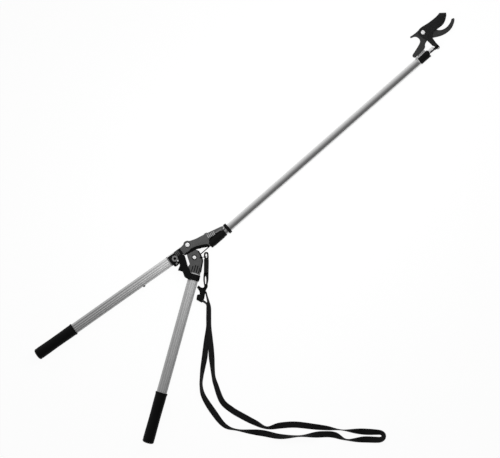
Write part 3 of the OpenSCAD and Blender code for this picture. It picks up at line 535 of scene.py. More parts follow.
sliderShape = joined([plate(eased(slider["outline"], 3), rim(slider["low"], slider["high"], 1.4, 1.4)),
                      plate(capsule(*slider["bar"], 1.3), rim(slider["high"] - 1, slider["high"] + 0.9, 0.1, 0.8))])
makePiece("strapSlider", inStrap(sliderShape), "lever", [mouldedNylon], ["strap_slider"])
print("strap hardware done")

# pole: drawn tube with eased ends, which lies a little toward -Y in its clamp
pole = {"y": -46.5, "sag": 1.6, "from": 64, "to": 1012, "r": 12.9, "bore": 10.8}
poleBase = (0, pole["y"], midHeight)
poleProfile = easedRing([(pole["from"], pole["bore"]), (pole["from"], pole["r"]), (pole["to"], pole["r"]),
                         (pole["to"], pole["bore"])], 0.6)
makePiece("poleTube", lathe(poleProfile, (0, pole["y"] - pole["sag"], midHeight), "x", 96), "frame", [poleMetal],
          ["pole_tube"])

# rubber ring above the clamp: bell-shaped grooves, and ends that fall away by a square
ring = {"from": 130, "long": 10.5, "r": 18.5, "bore": 11.05, "grooves": (3.2, 7.3), "wide": 0.7, "deep": 0.9,
        "ease": 1.6}
x = np.linspace(0, ring["long"], 40)
outer = ring["r"] - ring["deep"] * sum(np.exp(-((x - g) / ring["wide"]) ** 2) for g in ring["grooves"])
toEnd = np.minimum(x, ring["long"] - x)
outer = outer - ring["ease"] * np.maximum(1 - toEnd / ring["ease"], 0) ** 2
ringProfile = np.concatenate([[(ring["from"], ring["bore"])], np.column_stack([ring["from"] + x, outer]),
                              [(ring["from"] + ring["long"], ring["bore"]), (ring["from"], ring["bore"])]])
makePiece("bumperRing", lathe(ringProfile, poleBase, "x", 72), "frame", [gripRubber], ["bumper_ring"])
print("pole done")

# handles: fluted oval tubes, turned out from the pivot; shadeShare is painted shade at the socket and at the grip,
# fluteShade in the flutes
handles = {
    "upper": {"turn": 174.0, "shift": (0, -10.65, midHeight), "from": 73.1, "to": 610, "gripFrom": 466,
              "gripTo": 618, "body": "frame", "flute": 0.6, "fluteShade": 0.5, "shadeShare": (0.0, 0.34)},
    # the lower handle's higher share at its socket paints its whole tube darker, as painted shade
    "lower": {"turn": 213.25, "shift": (26.43, -40.31, midHeight), "from": 90.1, "to": 658, "gripFrom": 492,
              "gripTo": 666, "body": "lever", "flute": 0.3, "fluteShade": 0.22, "shadeShare": (0.26, 0.36)},
}


def onHandle(shape, name):
    # from a handle's own frame, along, across and up from the middle of its tube
    return placed(shape, handles[name]["turn"], handles[name]["shift"])


tube = {"width": 34.5, "high": 27.0, "wall": 1.8, "at": (-12.4, -5.6, 1.2, 9.4), "fluteWide": (1.35, 1.35, 1.35, 2.2),
        "shadeFrom": 110, "shadeRun": 90}
section, sectionNormal, sectionRun = ovalSection(300, tube["width"], tube["high"])
topFlutes = sectionRun[-1] / 4 + np.array(tube["at"])
flutes = np.concatenate([topFlutes, topFlutes + sectionRun[-1] / 2])
# the outline sinks along its normal by a bell curve at every flute
sink = np.exp(-((sectionRun[:, None] - flutes[None]) / np.tile(tube["fluteWide"], 2)[None]) ** 2).sum(1)
bore = section - sectionNormal * tube["wall"]
for name, h in handles.items():
    fluted = section - sectionNormal * h["flute"] * sink[:, None]
    stations = [(h["from"], bore), (h["from"], fluted * 0.99), (h["from"] + 0.5, fluted)]
    stations += [(a, fluted) for a in np.linspace(h["from"] + 1, h["to"] - 1, 24)]
    stations += [(h["to"] - 0.5, fluted), (h["to"], fluted * 0.99), (h["to"], bore), (h["from"], bore)]
    rows = np.stack([np.column_stack([np.full(len(o), a), o]) for a, o in stations])
    # the painted shade nears its share at the grip by an exponential, for light that falls off toward the handle's end
    near = 1 - np.exp(-np.maximum(rows[..., 0] - tube["shadeFrom"], 0) / tube["shadeRun"])
    shadeShare = h["shadeShare"][0] + (h["shadeShare"][1] - h["shadeShare"][0]) * near
    makePiece(name + "HandleTube", onHandle(gridShape(rows, rows[..., 0], sectionRun[None]), name), h["body"],
              [handleMetal], [name + "_handle_tube"], sharp=60,
              paintedShade=(np.clip(sink, 0, 1)[None] * h["fluteShade"] + shadeShare).ravel())

# button on the upper handle's lower side, and the lip where that handle enters its socket
button = {"along": 196, "profile": [(16.0, 0), (16.0, 4.4), (19.4, 4.2), (20.6, 3.0), (20.9, 0)]}
buttonShape = placed(lathe(button["profile"], (0, 0, 0), "x", 40), 90, (button["along"], 0, 0))
makePiece("handleButton", onHandle(buttonShape, "upper"), "frame", [castPaint], ())
lip = {"around": 120, "girth": 110,
       "rows": [(79.6, 34.5, 30.0), (79.6, 35.0, 30.3), (80.0, 35.4, 30.6), (82.0, 35.4, 30.6), (82.6, 35.0, 30.2),
                (82.6, 34.6, 27.2), (79.6, 34.5, 27.2), (79.6, 34.5, 30.0)]}  # along, width, height
rows = np.stack([np.column_stack([np.full(lip["around"] + 1, a), ovalSection(lip["around"], w, g)[0]])
                 for a, w, g in lip["rows"]])
lipShape = gridShape(rows, rows[..., 0], np.linspace(0, lip["girth"], lip["around"] + 1)[None])
makePiece("socketLip", onHandle(lipShape, "upper"), "frame", [paleWearAndHighlightPaint], ())

# grips: rubber sleeves with a lip, a shallow waist, a ring before the end and a domed end
grip = {"width": 39.5, "high": 37.0, "around": 120, "bore": (34.6, 27.1), "boreStop": 8, "front": 9, "back": 16,
        "waist": 0.55, "waistStop": 17, "lip": 6.0, "lipSoft": 0.35, "edge": 1.4, "edgeRun": 1.2, "ringAt": 10.5,
        "ringWide": 0.8, "ringDeep": 0.8, "dome": 7.5, "domePower": 0.62}
gripRun = ovalSection(grip["around"], 1.0, grip["high"] / grip["width"])[2]
for name, h in handles.items():
    start, end = h["gripFrom"], h["gripTo"]
    along = np.concatenate([np.linspace(start, start + grip["front"], 40),
                            np.linspace(start + grip["front"] + 0.5, end - grip["back"], 60),
                            np.linspace(end - grip["back"] + 0.5, end - grip["dome"], 40)])
    # an S curve makes the lip, a squared sine the waist, a square the front edge and a bell curve the ring
    raised = 1 / (1 + np.exp((along - start - grip["lip"]) / grip["lipSoft"]))
    share = np.clip((along - start - grip["front"]) / (end - start - grip["front"] - grip["waistStop"]), 0, 1)
    wall = grip["waist"] * (raised - np.sin(np.pi * share) ** 2 - 1)
    wall = wall - grip["edge"] * np.maximum(1 - (along - start) / grip["edgeRun"], 0) ** 2
    wall = wall - grip["ringDeep"] * np.exp(-((along - end + grip["ringAt"]) / grip["ringWide"]) ** 2)
    width, high = grip["width"] + 2 * wall + raised, grip["high"] + 2 * wall
    # the dome closes by a power of the cosine
    bend = np.linspace(0, np.pi / 2, 18)[1:]
    close = np.maximum(np.cos(bend), 0) ** grip["domePower"]
    boreEnd = end - grip["boreStop"]
    along = np.concatenate([[boreEnd, boreEnd, start], along, end - grip["dome"] + grip["dome"] * np.sin(bend)])
    width, high = (np.concatenate([[0, b, b], v, v[-1] * close]) for b, v in zip(grip["bore"], (width, high)))
    oval = np.stack([ovalSection(grip["around"], w, g)[0] for w, g in zip(width, high)])
    rows = np.concatenate([np.repeat(along[:, None, None], oval.shape[1], 1), oval], 2)
    makePiece(name + "Grip", onHandle(gridShape(rows, along[:, None], gripRun[None] * grip["width"]), name),
              h["body"], [gripRubber], [name + "_grip"], sharp=50)
print("handles done")

# swan-neck casting: two fork cheeks and a solid neck, its lower edge a wide chamfer drawn black as painted shade
neck = {
    "outline": [(-27.5, 8.4), (-5, 10.4), (4.5, 10.3), (13, 6.0), (21, 2.4), (36, -3.2), (55, -7.8), (84, -15.8),
                (118, -25.6), (129.6, -29.5), (129.6, -44), (122, -45.5), (112, -37), (94, -33), (76, -32), (65, -34),
                (59, -46), (54.5, -55), (46, -49.5), (30, -39.5), (12, -30.5), (-4.5, -26.5), (-31, -20.5)],
    "half": 14.0, "slot": 7.9, "slotTo": 22.0, "edge": 2.4, "chamferWide": 10.5, "chamferFrom": (-29, 10),
    "chamferTo": (55, 8), "crown": 5.4, "overlap": 0.2,
}
neckLine = anticlockwise(eased(neck["outline"], 5, 8))
step = np.roll(neckLine, -1, 0) - np.roll(neckLine, 1, 0)
facing = step[:, 0] / np.maximum(np.linalg.norm(step, axis=1), 1e-9)  # 1 where the wall looks toward -Y
shadedChamfer = np.clip(facing * 1.3, 0, 1) * np.clip((neckLine[:, 0] - neck["chamferFrom"][0]) / neck["chamferFrom"][1], 0, 1)
shadedChamfer = shadedChamfer * np.clip((neck["chamferTo"][0] - neckLine[:, 0]) / neck["chamferTo"][1], 0, 1)
shadedChamfer = np.convolve(np.concatenate([shadedChamfer[-4:], shadedChamfer, shadedChamfer[:4]]), np.ones(9) / 9, "valid")
# upper edges are rounded, the lower edge is a flat chamfer: the inset follows 1 - cos or sin of the same turn
crown = [(neck["half"] - neck["crown"] + neck["crown"] * math.sin(a),
          (1 - shadedChamfer) * neck["edge"] * (1 - math.cos(a)) + shadedChamfer * neck["chamferWide"] * math.sin(a))
         for a in np.linspace(0, np.pi / 2, 7)]
cheekLevels = [(neck["slot"], 0 * shadedChamfer)] + crown
cheekTop = plate(neckLine, [(midHeight + z, d) for z, d in cheekLevels])
cheekLow = plate(neckLine, [(midHeight - z, d) for z, d in cheekLevels[::-1]])
# the core is the outline beyond the slot, begun after its longest gap and closed along the slot's end
solid = neckLine[neckLine[:, 0] > neck["slotTo"]]
first = int(np.argmax(np.linalg.norm(np.diff(np.concatenate([solid, solid[:1]]), axis=0), axis=1)))
solid = np.roll(solid, -first - 1, 0)
solid = np.concatenate([[(neck["slotTo"], solid[0, 1])], solid, [(neck["slotTo"], solid[-1, 1])]])
coreHalf = neck["slot"] + neck["overlap"]
neckCore = plate(solid, [(midHeight - coreHalf, 0.0), (midHeight + coreHalf, 0.0)])
# faces of the wide lower chamfer take black nylon: painted shade along the neck's lower edge
black = np.tile(shadedChamfer > 0.4, len(cheekLevels) - 1)
caps = [len(c[1]) - len(black) for c in (cheekTop, cheekLow)]
pick = np.concatenate([black, np.zeros(caps[0]), black, np.zeros(caps[1]), np.zeros(len(neckCore[1]))])
makePiece("neckCasting", joined([cheekTop, cheekLow, neckCore]), "frame", [castPaint, mouldedNylon], ["pole_body"],
          pick=pick, sharp=50)

# pole clamp: black sleeve with a raised middle band, whose ends fall away by a square
sleeve = {"from": 55, "to": 122, "r": 16.0, "bore": 11.05, "band": 0.3, "step": 0.8, "ease": 2.8, "easeDeep": 2.6}
share = np.linspace(0, 1, 90)
run = sleeve["from"] + share * (sleeve["to"] - sleeve["from"])
swell = sleeve["r"] - sleeve["step"] * np.clip((np.abs(share - 0.5) - sleeve["band"]) * 30, 0, 1)
toEnd = np.minimum(run - sleeve["from"], sleeve["to"] - run)
swell = swell - sleeve["easeDeep"] * np.maximum(1 - toEnd / sleeve["ease"], 0) ** 2
sleeveProfile = np.concatenate([[(sleeve["from"], sleeve["bore"])], np.column_stack([run, swell]),
                                [(sleeve["to"], sleeve["bore"]), (sleeve["from"], sleeve["bore"])]])
makePiece("clampSleeve", lathe(sleeveProfile, poleBase, "x", 72), "frame", [mouldedNylon], ["pole_body"])

# raised bars across the neck just before the clamp, in bright cast aluminium, and the ridge along the clamp, a paler
# strip as painted highlight
bars = {"at": [(71, -17.3), (76.5, -18.8), (82, -20.3), (87.5, -21.8), (93, -23.3)], "to": (-3.0, -10.5),
        "r": 1.3, "low": 13.6, "high": 15.2, "ridge": ((97, -31.0), (117, -34.2)), "ridgeR": 1.9, "ridgeLow": 10}
barLevels = rim(midHeight + bars["low"], midHeight + bars["high"], 0.1, 0.7)
makePiece("neckBars", joined([plate(capsule(p, (p[0] + bars["to"][0], p[1] + bars["to"][1]), bars["r"]), barLevels)
                              for p in bars["at"]]), "frame", [castAluminium], ())
# the ridge's paler grey is a painted highlight where the sleeve meets the neck
ridgeLevels = rim(midHeight + bars["ridgeLow"], midHeight + bars["high"], 0.1, 1.1)
makePiece("clampHighlightRidge", plate(capsule(*bars["ridge"], bars["ridgeR"]), ridgeLevels), "frame", [paleWearAndHighlightPaint], ())

# bolts: a low dome over a short cylinder, with a six-sided key recess in its middle; the foot is the solid's own
bolts = {
    "mainPivotBolt": {"node": "main_pivot_bolt", "at": (0, 0), "shank": 5.0, "seat": 33.6, "r": 7.5, "high": 3.8,
                      "key": 1.5, "body": "frame"},
    "anchorBolt": {"node": "anchor_bolt", "at": (-9.8, -46.2), "shank": 3.0, "seat": 32.1, "r": 6.2, "high": 3.4,
                   "key": 1.3, "body": "lever"},
    "bladePivotBolt": {"node": "blade_pivot_bolt", "at": (1046.5, 15), "shank": 4.0, "seat": 23.1, "r": 7.0,
                       "high": 3.8, "key": 1.4, "body": "frame"},
}
for name, b in bolts.items():
    lo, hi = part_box(b["node"])
    foot, seat, r, key = lo.z * 1000, b["seat"], b["r"], b["key"]
    shank = min(b["shank"], (hi.x - lo.x) * 500)
    # the crest rises by a power of the sine while its radius shrinks by the same power of the cosine
    dome = np.linspace(0, 1, 12) * np.pi / 2
    crest = np.column_stack([seat + 1.2 + (b["high"] - 1.2) * np.sin(dome) ** 0.9,
                             key * 1.35 + (r - 0.15 - key * 1.35) * np.cos(dome) ** 0.9])
    top = crest[-1, 0]
    profile = np.concatenate([[(foot, 0), (foot, shank - 0.5), (foot + 0.5, shank), (seat, shank), (seat, r - 0.4),
                               (seat + 0.4, r)], crest, [(top - 0.2, key * 1.08), (top - 0.8, key), (top - 0.9, 0)]])
    makePiece(name, lathe(profile, (*b["at"], 0), turns=72, hexed=[0] * (len(profile) - 3) + [1, 1, 0]), b["body"],
              [whiteZinc], [b["node"]], sharp=40)

# black plastic washers under the two bolts of the lever: node, place, radii, foot and body
washers = {"mainWasher": ("main_pivot_washer", (0, 0), 9.4, 5.1, 32.55, "frame"),
           "anchorWasher": ("anchor_washer", (-9.8, -46.2), 8.75, 3.1, 31.05, "lever")}
for name, (node, at, outerR, innerR, low, body) in washers.items():
    profile = easedRing([(low, innerR), (low, outerR), (low + 1, outerR), (low + 1, innerR)], 0.4)
    makePiece(name, lathe(profile, (*at, 0), turns=72), body, [mouldedNylon], [node])

# hexagon nuts with chamfered corners: node, place, corner radius, foot, top and body
nuts = {"mainNut": ("main_pivot_nut", (0, 0), 9.8, 0.0, 4.45, "frame"),
        "bladeNut": ("blade_pivot_nut", (1046.5, 15), 7.5, 6.95, 13.45, "frame"),
        "anchorNut": ("anchor_nut", (-9.8, -46.2), 5.5, 1.95, 5.95, "lever")}
for name, (node, at, corner, low, high, body) in nuts.items():
    profile = [(low, 0), (low, corner * 0.86), (low + 0.7, corner), (high - 0.1, corner), (high, corner * 0.98),
               (high, 0)]
    makePiece(name, lathe(profile, (*at, 0), turns=72, hexed=[0, 0, 1, 1, 1, 0]), body, [zincSteel], [node],
              sharp=30)

# screws and pins: cheese heads with a key recess, each standing where its solid stands
screws = {
    "clampScrew": {"node": "clamp_screw", "at": (126, -37.5), "foot": 27.9, "shank": 2.5, "seat": 32.55, "r": 2.9,
                   "high": 3.0, "key": 1.2, "body": "frame", "finish": castAluminium},
    "forkPin": {"node": "fork_pin", "at": (1049.5, -51.5), "foot": 15.2, "shank": 2.4, "seat": 25.85, "r": 4.2,
                "high": 1.2, "key": 1.2, "body": "cable", "finish": oxideSteel},
}
for name, b in screws.items():
    foot, shank, seat, r, key, top = b["foot"], b["shank"], b["seat"], b["r"], b["key"], b["seat"] + b["high"]
    outside = eased([(foot, 0), (foot, shank), (seat, shank), (seat, r), (top, r), (top, key * 1.1)], 0.5, closed=False)
    profile = np.concatenate([[(foot, 0)], outside, [(top - 0.9, key), (top - 1.0, 0)]])
    makePiece(name, lathe(profile, (*b["at"], 0), turns=48, hexed=[0] * (len(profile) - 3) + [1, 1, 0]), b["body"],
              [b["finish"]], [b["node"]])

# hexagon screw in the neck's upper edge, lying along its own axis
edgeScrew = {"at": (69, -12.6, midHeight), "turn": 75.0, "corner": 6.5, "from": 0.3, "high": 3.4, "shank": 3.0,
             "long": 21}
low, top, corner, shank = (edgeScrew["from"], edgeScrew["from"] + edgeScrew["high"], edgeScrew["corner"],
                           edgeScrew["shank"])
profile = [(-edgeScrew["long"], 0), (-edgeScrew["long"], shank), (low, shank), (low, corner * 0.97),
           (low + 0.3, corner), (top - 0.8, corner), (top, corner * 0.84), (top, 0)]
screwShape = lathe(profile, (0, 0, 0), "x", 72, [0, 0, 0, 1, 1, 1, 0, 0])
makePiece("poleScrew", placed(screwShape, edgeScrew["turn"], edgeScrew["at"]), "frame", [zincSteel], ["pole_screw"],
          sharp=30)

# rear socket's cross bolt in its recess, and the raised ring round it
crossBolt = {"along": 61.0, "across": 2.3, "r": 4.4, "half": 14.8, "head": 2, "shank": 3.0, "key": 2.5,
             "ring": (4.6, 10.0), "ringFrom": 8.2, "ringTo": 15.32}
half, neckHalf, r, shank, key = (crossBolt["half"], crossBolt["half"] - crossBolt["head"], crossBolt["r"],
                                 crossBolt["shank"], crossBolt["key"])
profile = [(-half, 0), (-half, r - 0.6), (-half + 0.6, r), (-neckHalf, r), (-neckHalf, shank), (neckHalf, shank),
           (neckHalf, r), (half - 0.6, r), (half, r - 0.6), (half, key + 0.2), (half - 1.4, key), (half - 1.5, 0)]
boltBase = (crossBolt["along"], crossBolt["across"], 0)
boltShape = lathe(profile, boltBase, turns=48, hexed=[0] * 9 + [1, 1, 0])
makePiece("socketBolt", onHandle(boltShape, "upper"), "frame", [oxideSteel], ["socket_bolt"])
(innerR, outerR), low, high = crossBolt["ring"], crossBolt["ringFrom"], crossBolt["ringTo"]
profile = easedRing([(low, innerR), (low, outerR), (high, outerR), (high, innerR)], 0.5)
makePiece("socketRing", onHandle(lathe(profile, boltBase, turns=56), "upper"), "frame", [paleWearAndHighlightPaint], ())

# low ribs round the rear socket's shoulder, and the tongue of the handle's tube that laps it: each is a strip of
# the socket's own section, lifted along its normal, that ends inside the socket
lapped = {"width": 34.5, "high": 30.4, "top": 15.33, "ribs": (39.0, 44.3, 49.6), "ribHalf": 1.2, "ribLift": 0.45,
          "ribRun": (23, 46.5), "tongue": (52.4, 80.5), "tongueRun": (41, 56), "tongueLift": 0.3}
shoulder, shoulderNormal, shoulderRun = ovalSection(160, lapped["width"], lapped["high"])


def lappedStrip(along, lift, ends):
    # rows of (along, lift) carried round the section between two run lengths, sinking 1 mm at both ends
    chosen = (shoulderRun >= ends[0]) & (shoulderRun <= ends[1])
    centre, out = shoulder[chosen], shoulderNormal[chosen]
    fade = np.clip(np.minimum(np.arange(len(out)), np.arange(len(out))[::-1]) / 3, 0, 1)
    height = (np.asarray(lift)[None] + 1.0) * fade[:, None] - 1.0
    ring = centre[:, None] + out[:, None] * height[..., None]
    ring[..., 1] = np.minimum(ring[..., 1], lapped["top"])
    rows = np.concatenate([np.broadcast_to(np.asarray(along, float)[None, :, None], (*height.shape, 1)), ring], 2)
    rows = pointed(rows, rows[0].mean(0), rows[-1].mean(0))
    return onHandle(gridShape(rows, rows[..., 0], rows[..., 1]), "upper")


half, high = lapped["ribHalf"], lapped["ribLift"]
ribLift = [-1, high - 0.3, high, high, high - 0.3, -1, -1]
makePiece("socketRibs", joined([lappedStrip([a - half, a - half, a - 0.6 * half, a + 0.6 * half, a + half, a + half,
                                             a - half], ribLift, lapped["ribRun"]) for a in lapped["ribs"]]),
          "frame", [castPaint], (), sharp=50)
(start, end), high = lapped["tongue"], lapped["tongueLift"]
makePiece("tubeTongue", lappedStrip([start, start, start + 1, end, end, start], [-1, 0, high, high, -1, -1],
                                    lapped["tongueRun"]), "frame", [handleMetal], (), sharp=50)

# lug of the socket that laps the casting's end, above the lever's swing
lug = {"outline": [(-35.5, 1.0), (-28.2, 1.0), (-29.9, -13.5), (-35.5, -13.5)], "low": 8.3, "high": 13.4}
lugLevels = rim(midHeight + lug["low"], midHeight + lug["high"], 0.3, 0.5)
makePiece("socketLug", plate(eased(lug["outline"], 0.8), lugLevels), "frame", [mouldedNylon], ())

# rubber stop under the rear socket: two lobes side by side, a web behind them, and a tongue that goes between the
# lever's cheeks when it closes
lobes = {"at": [(-67.4, -22.4), (-74.2, -24.0)], "r": 4.6, "half": 8.0,
         "web": [(-65, -18), (-66.5, -22.5), (-72, -25), (-78, -24.5), (-79.6, -20.2), (-74, -20.6)], "webHalf": 7.6,
         "tongue": [(-79, -19), (-78.5, -25.5), (-75, -29.2), (-70, -29.6), (-63.5, -29.4), (-59.6, -27.5),
                    (-58.6, -21), (-62, -17)], "tongueHalf": 3.2}
lobeLevels = rim(midHeight - lobes["half"], midHeight + lobes["half"], 1.4, 1.4)
stopShapes = [plate(circle(p, lobes["r"], 32), lobeLevels) for p in lobes["at"]]
for part in ("web", "tongue"):
    half = lobes[part + "Half"]
    stopShapes.append(plate(eased(lobes[part], 1.5), rim(midHeight - half, midHeight + half, 0.5, 0.5)))
makePiece("stopLobes", joined(stopShapes), "frame", [gripRubber], ["handle_bumper"])
cap = {"at": (-67.2, -22.6), "r": 3.4, "low": midHeight + 7.8, "high": midHeight + 8.8}
makePiece("stopCap", plate(circle(cap["at"], cap["r"], 32), rim(cap["low"], cap["high"], 0.1, 0.6)), "frame",
          [paleWearAndHighlightPaint], ())
print("fasteners done")

# lever, sockets and fork: the solids' own outlines with rounded edges
copies = {"rearSocket": ("rear_socket", 1.1, mouldedNylon, "black_plastic"),
          "leverSocket": ("lever_socket", 0.9, mouldedNylon, "black_plastic"),
          "leverFrontPlate": ("lever_front_plate", 0.9, castPaint, "cast_grey"),
          "leverRearPlate": ("lever_rear_plate", 0.9, castPaint, "cast_grey"),
          "leverSpacer": ("lever_spacer", 0.5, castAluminium, "aluminium"),
          "headBracket": ("head_bracket", 0.6, castAluminium, "aluminium"),
          "cableFork": ("cable_fork", 0.5, groundSteel, "bright_steel")}
for name, (node, width, material, slotName) in copies.items():
    roundedCopy(name, node, width, material)

# short ribs on the lever's face, parallel to its handle
ribs = {"across": (-11.8, -4.0, 3.8, 11.6), "from": (63, 58, 58, 63), "to": 79.5, "r": 1.6, "low": 12.2,
        "high": 13.3}
ribShape = joined([plate(capsule((a, q), (ribs["to"], q), ribs["r"]), rim(ribs["low"], ribs["high"], 0.1, 0.6))
                   for q, a in zip(ribs["across"], ribs["from"])])
makePiece("leverRibs", onHandle(ribShape, "lower"), "lever", [mouldedNylon], ())

# black strip along the lever's outer edge, painted shade where that edge turns down: a ribbon that follows the edge 1.3
# mm in from it
edgeShadeStrip = {"line": [(-27, -96.5), (-14, -86), (3.0, -72), (8.5, -60), (11.8, -50), (13.8, -38.5)], "r": 2.3,
        "low": 12.2, "high": 13.3}
edgeLine = spline(edgeShadeStrip["line"], 6)
aside = leftOf(edgeLine) * edgeShadeStrip["r"]
makePiece("leverEdgeShadeStrip", plate(np.concatenate([edgeLine + aside, (edgeLine - aside)[::-1]]),
                             rim(midHeight + edgeShadeStrip["low"], midHeight + edgeShadeStrip["high"], 0.1, 0.5)), "lever",
          [mouldedNylon], (), sharp=50)

# counter-hook: four smooth runs about the head's pivot, with corners where they meet
headPivot = np.array([1046.5, 15.0])
counterHook = {"low": 13.5, "high": 18.5, "edge": 0.4, "hole": 4.05, "lines": [
    [(-8, 15.2), (-15, 14.9), (-27, 15.4), (-42.0, 17.4)],
    [(-42.8, 12.0), (-35.5, 9.4), (-29, 6.2), (-24.6, -1), (-23.8, -9.6), (-27, -16.4), (-35.2, -21.0), (-49, -25.6),
     (-64, -30.2), (-75, -33.4), (-78.2, -40), (-73.5, -46.6)],
    [(-34, -44.4), (-27, -41.5), (-20, -34), (-8, -29.8), (4, -31), (16, -36.6), (27, -42.8), (40, -48.6), (57, -52.8),
     (78, -52.2), (96, -44.8), (107.4, -35.4), (106.4, -30.2)],
    [(100.2, -28.6), (92.6, -33.2), (84.2, -36.2), (75, -38.0), (65, -37.9), (56, -35.7), (48, -31.4), (42.5, -26),
     (37, -16), (31, -4), (20, 9), (6, 14.5)]]}
hookLine = np.concatenate([spline(p, 6) for p in counterHook["lines"]]) + headPivot
hookLevels = rim(counterHook["low"], counterHook["high"], counterHook["edge"], counterHook["edge"])
makePiece("hookPlate", plate(hookLine, hookLevels, [circle(headPivot, counterHook["hole"])]), "frame", [hookSteel],
          ["hook_plate"], sharp=50)

# blade: back, cutting edge, arm's end with its slot, and arm; the grind takes in the first samples of the edge run
blade = {"hole": 5.55, "slot": ((3, -66.5), (4, -70.1)), "slotR": 2.95, "grind": 3.8, "grindTo": 58, "grindFade": 10,
         "lines": [
             [(-15.5, 2), (-13, 12), (-3, 16), (9, 16.3), (34, 12.2), (62, 10.6), (75, 11.4), (82.5, 13.2)],
             [(100.2, -0.6), (97, -6.5), (90, -12.6), (82, -18), (73, -22.3), (65, -24), (56, -24.1), (48, -23.4),
              (38, -22.6), (28, -22.6), (18, -26.5), (11.6, -36)],
             [(9.8, -53.5), (10.4, -66), (9.4, -73), (4, -75.6), (-1.2, -73), (-2.4, -66), (-2.6, -58.5)],
             [(-5.8, -54), (-6.4, -44), (-8, -30), (-12.5, -14)]]}
runs = [spline(p, 6) for p in blade["lines"]]
bladeLine = np.concatenate(runs) + headPivot
# the cutting edge is ground from the upper face: that face is drawn in along the edge only
edge = np.concatenate([np.zeros(len(runs[0])),
                       np.clip((blade["grindTo"] - np.arange(len(runs[1]))) / blade["grindFade"], 0, 1),
                       np.zeros(len(runs[2]) + len(runs[3]))])
if anticlockwise(bladeLine) is not bladeLine:
    bladeLine, edge = bladeLine[::-1], edge[::-1]
ground = blade["grind"] * edge
bladeLevels = [(18.8, 0.5 * (1 - edge)), (19.1, 0.15 * (1 - edge)), (19.5, 0 * edge), (22.3, ground * 0.86),
               (22.65, 0.15 + ground * 0.96), (22.8, 0.5 + ground)]
slotHole = capsule(*(headPivot + p for p in blade["slot"]), blade["slotR"])
bladeShape = plate(bladeLine, bladeLevels, [circle(headPivot, blade["hole"]), slotHole])
pick = np.zeros(len(bladeShape[1]), int)
pick[2 * len(bladeLine):3 * len(bladeLine)] = edge > 0.5
makePiece("cuttingBlade", bladeShape, "blade", [bladeCoat, groundSteel], ["cutting_blade"], pick=pick,
          sharp=40)

# head cover: a shell round the bracket, open on one side, its upper end in two lobes; each station is the share of
# the way along, whether the wall closes to its middle, and how far its faces draw in
cover = {"from": 974.5, "to": 1016.0, "outer": 15.5, "inner": 13.55, "open": (60, 65.5), "splay": 6, "around": 80,
         "fall": 1.5, "lobes": 2.2, "reach": 2.6, "reachAt": 75, "reachWide": 0.5,
         "stations": [(0, 1, 0), (0, 0, 0.5), (0.015, 0, 0), (0.25, 0, 0), (0.5, 0, 0), (0.75, 0, 0), (0.985, 0, 0),
                      (1, 0, 0.5), (1, 1, 0)]}
centre, count = (cover["outer"] + cover["inner"]) / 2, cover["around"]
rows = []
for share, shut, draw in cover["stations"]:
    angle = np.radians(np.linspace(cover["open"][0] - cover["splay"] * share, 360 - cover["open"][1], count))
    half = (cover["outer"] - cover["inner"]) / 2 * (1 - shut) - draw
    around = np.concatenate([angle, angle[::-1], angle[:1]])
    r = np.concatenate([np.full(count, centre + half), np.full(count, centre - half), [centre + half]])
    # the end falls back by a cubed sine between the lobes and reaches out by a bell curve on one side
    reach = cover["to"] - cover["from"] - cover["fall"] * np.abs(np.sin(cover["lobes"] * (around - np.pi))) ** 3
    bell = np.exp(-((around - np.radians(cover["reachAt"])) / cover["reachWide"]) ** 2)
    reach = reach + cover["reach"] * bell
    rows.append(np.column_stack([cover["from"] + share * reach, r * np.cos(around), r * np.sin(around)]))
rows = np.stack(rows) + poleBase
makePiece("headCover", gridShape(rows, rows[..., 0], (around * cover["outer"])[None]), "frame", [mouldedNylon],
          ["head_cover"], sharp=40)
print("head done")

# pressed tongue of the bracket beside the cable, with a bead along it
tongue = {"outline": [(1004, -49.4), (1039, -49.4), (1042, -46.5), (1041, -41.5), (1036, -40.2), (1004, -40.2)],
          "bead": ((1014, -44.8), (1034, -44.8)), "beadR": 1.6, "low": 11.0, "high": 13.0}
makePiece("bracketTongue", joined([
    plate(eased(tongue["outline"], 2), rim(tongue["low"], tongue["high"], 0.4, 0.4)),
    plate(capsule(*tongue["bead"], tongue["beadR"]), rim(tongue["high"] - 0.5, tongue["high"] + 0.9, 0.1, 0.8))]),
          "frame", [whiteZinc], ())

# pull cable: six strands wound round a core, drawn finely and a little thicker only where it lies in the open
rope = {"y": -51.5, "runs": [(0.3, 66, 150), (70, 1005, 180), (1008, 1040.5, 80)], "r": 1.25, "lay": 14.0,
        "around": 48, "open": (56, 1014), "thicker": 0.5, "groove": 0.09}
x = np.concatenate([np.linspace(*run) for run in rope["runs"]])
angle = np.linspace(0, 2 * np.pi, rope["around"] + 1)
strand = np.abs(np.cos(3 * (angle[None] - 2 * np.pi * x[:, None] / rope["lay"])))
shown = np.clip((rope["open"][0] - x) / 4, 0, 1) + np.clip((x - rope["open"][1]) / 4, 0, 1)
ropeR = (rope["r"] + rope["thicker"] * shown[:, None]) * (1 - rope["groove"] + rope["groove"] * strand)
rows = np.stack(np.broadcast_arrays(x[:, None], rope["y"] + ropeR * np.cos(angle),
                                    midHeight + ropeR * np.sin(angle)), -1)
rows = pointed(rows, (x[0], rope["y"], midHeight), (x[-1], rope["y"], midHeight))
makePiece("pullCable", gridShape(rows, rows[..., 0], angle[None]), "cable", [ropeSteel], ["pull_cable"],
          sharp=80)

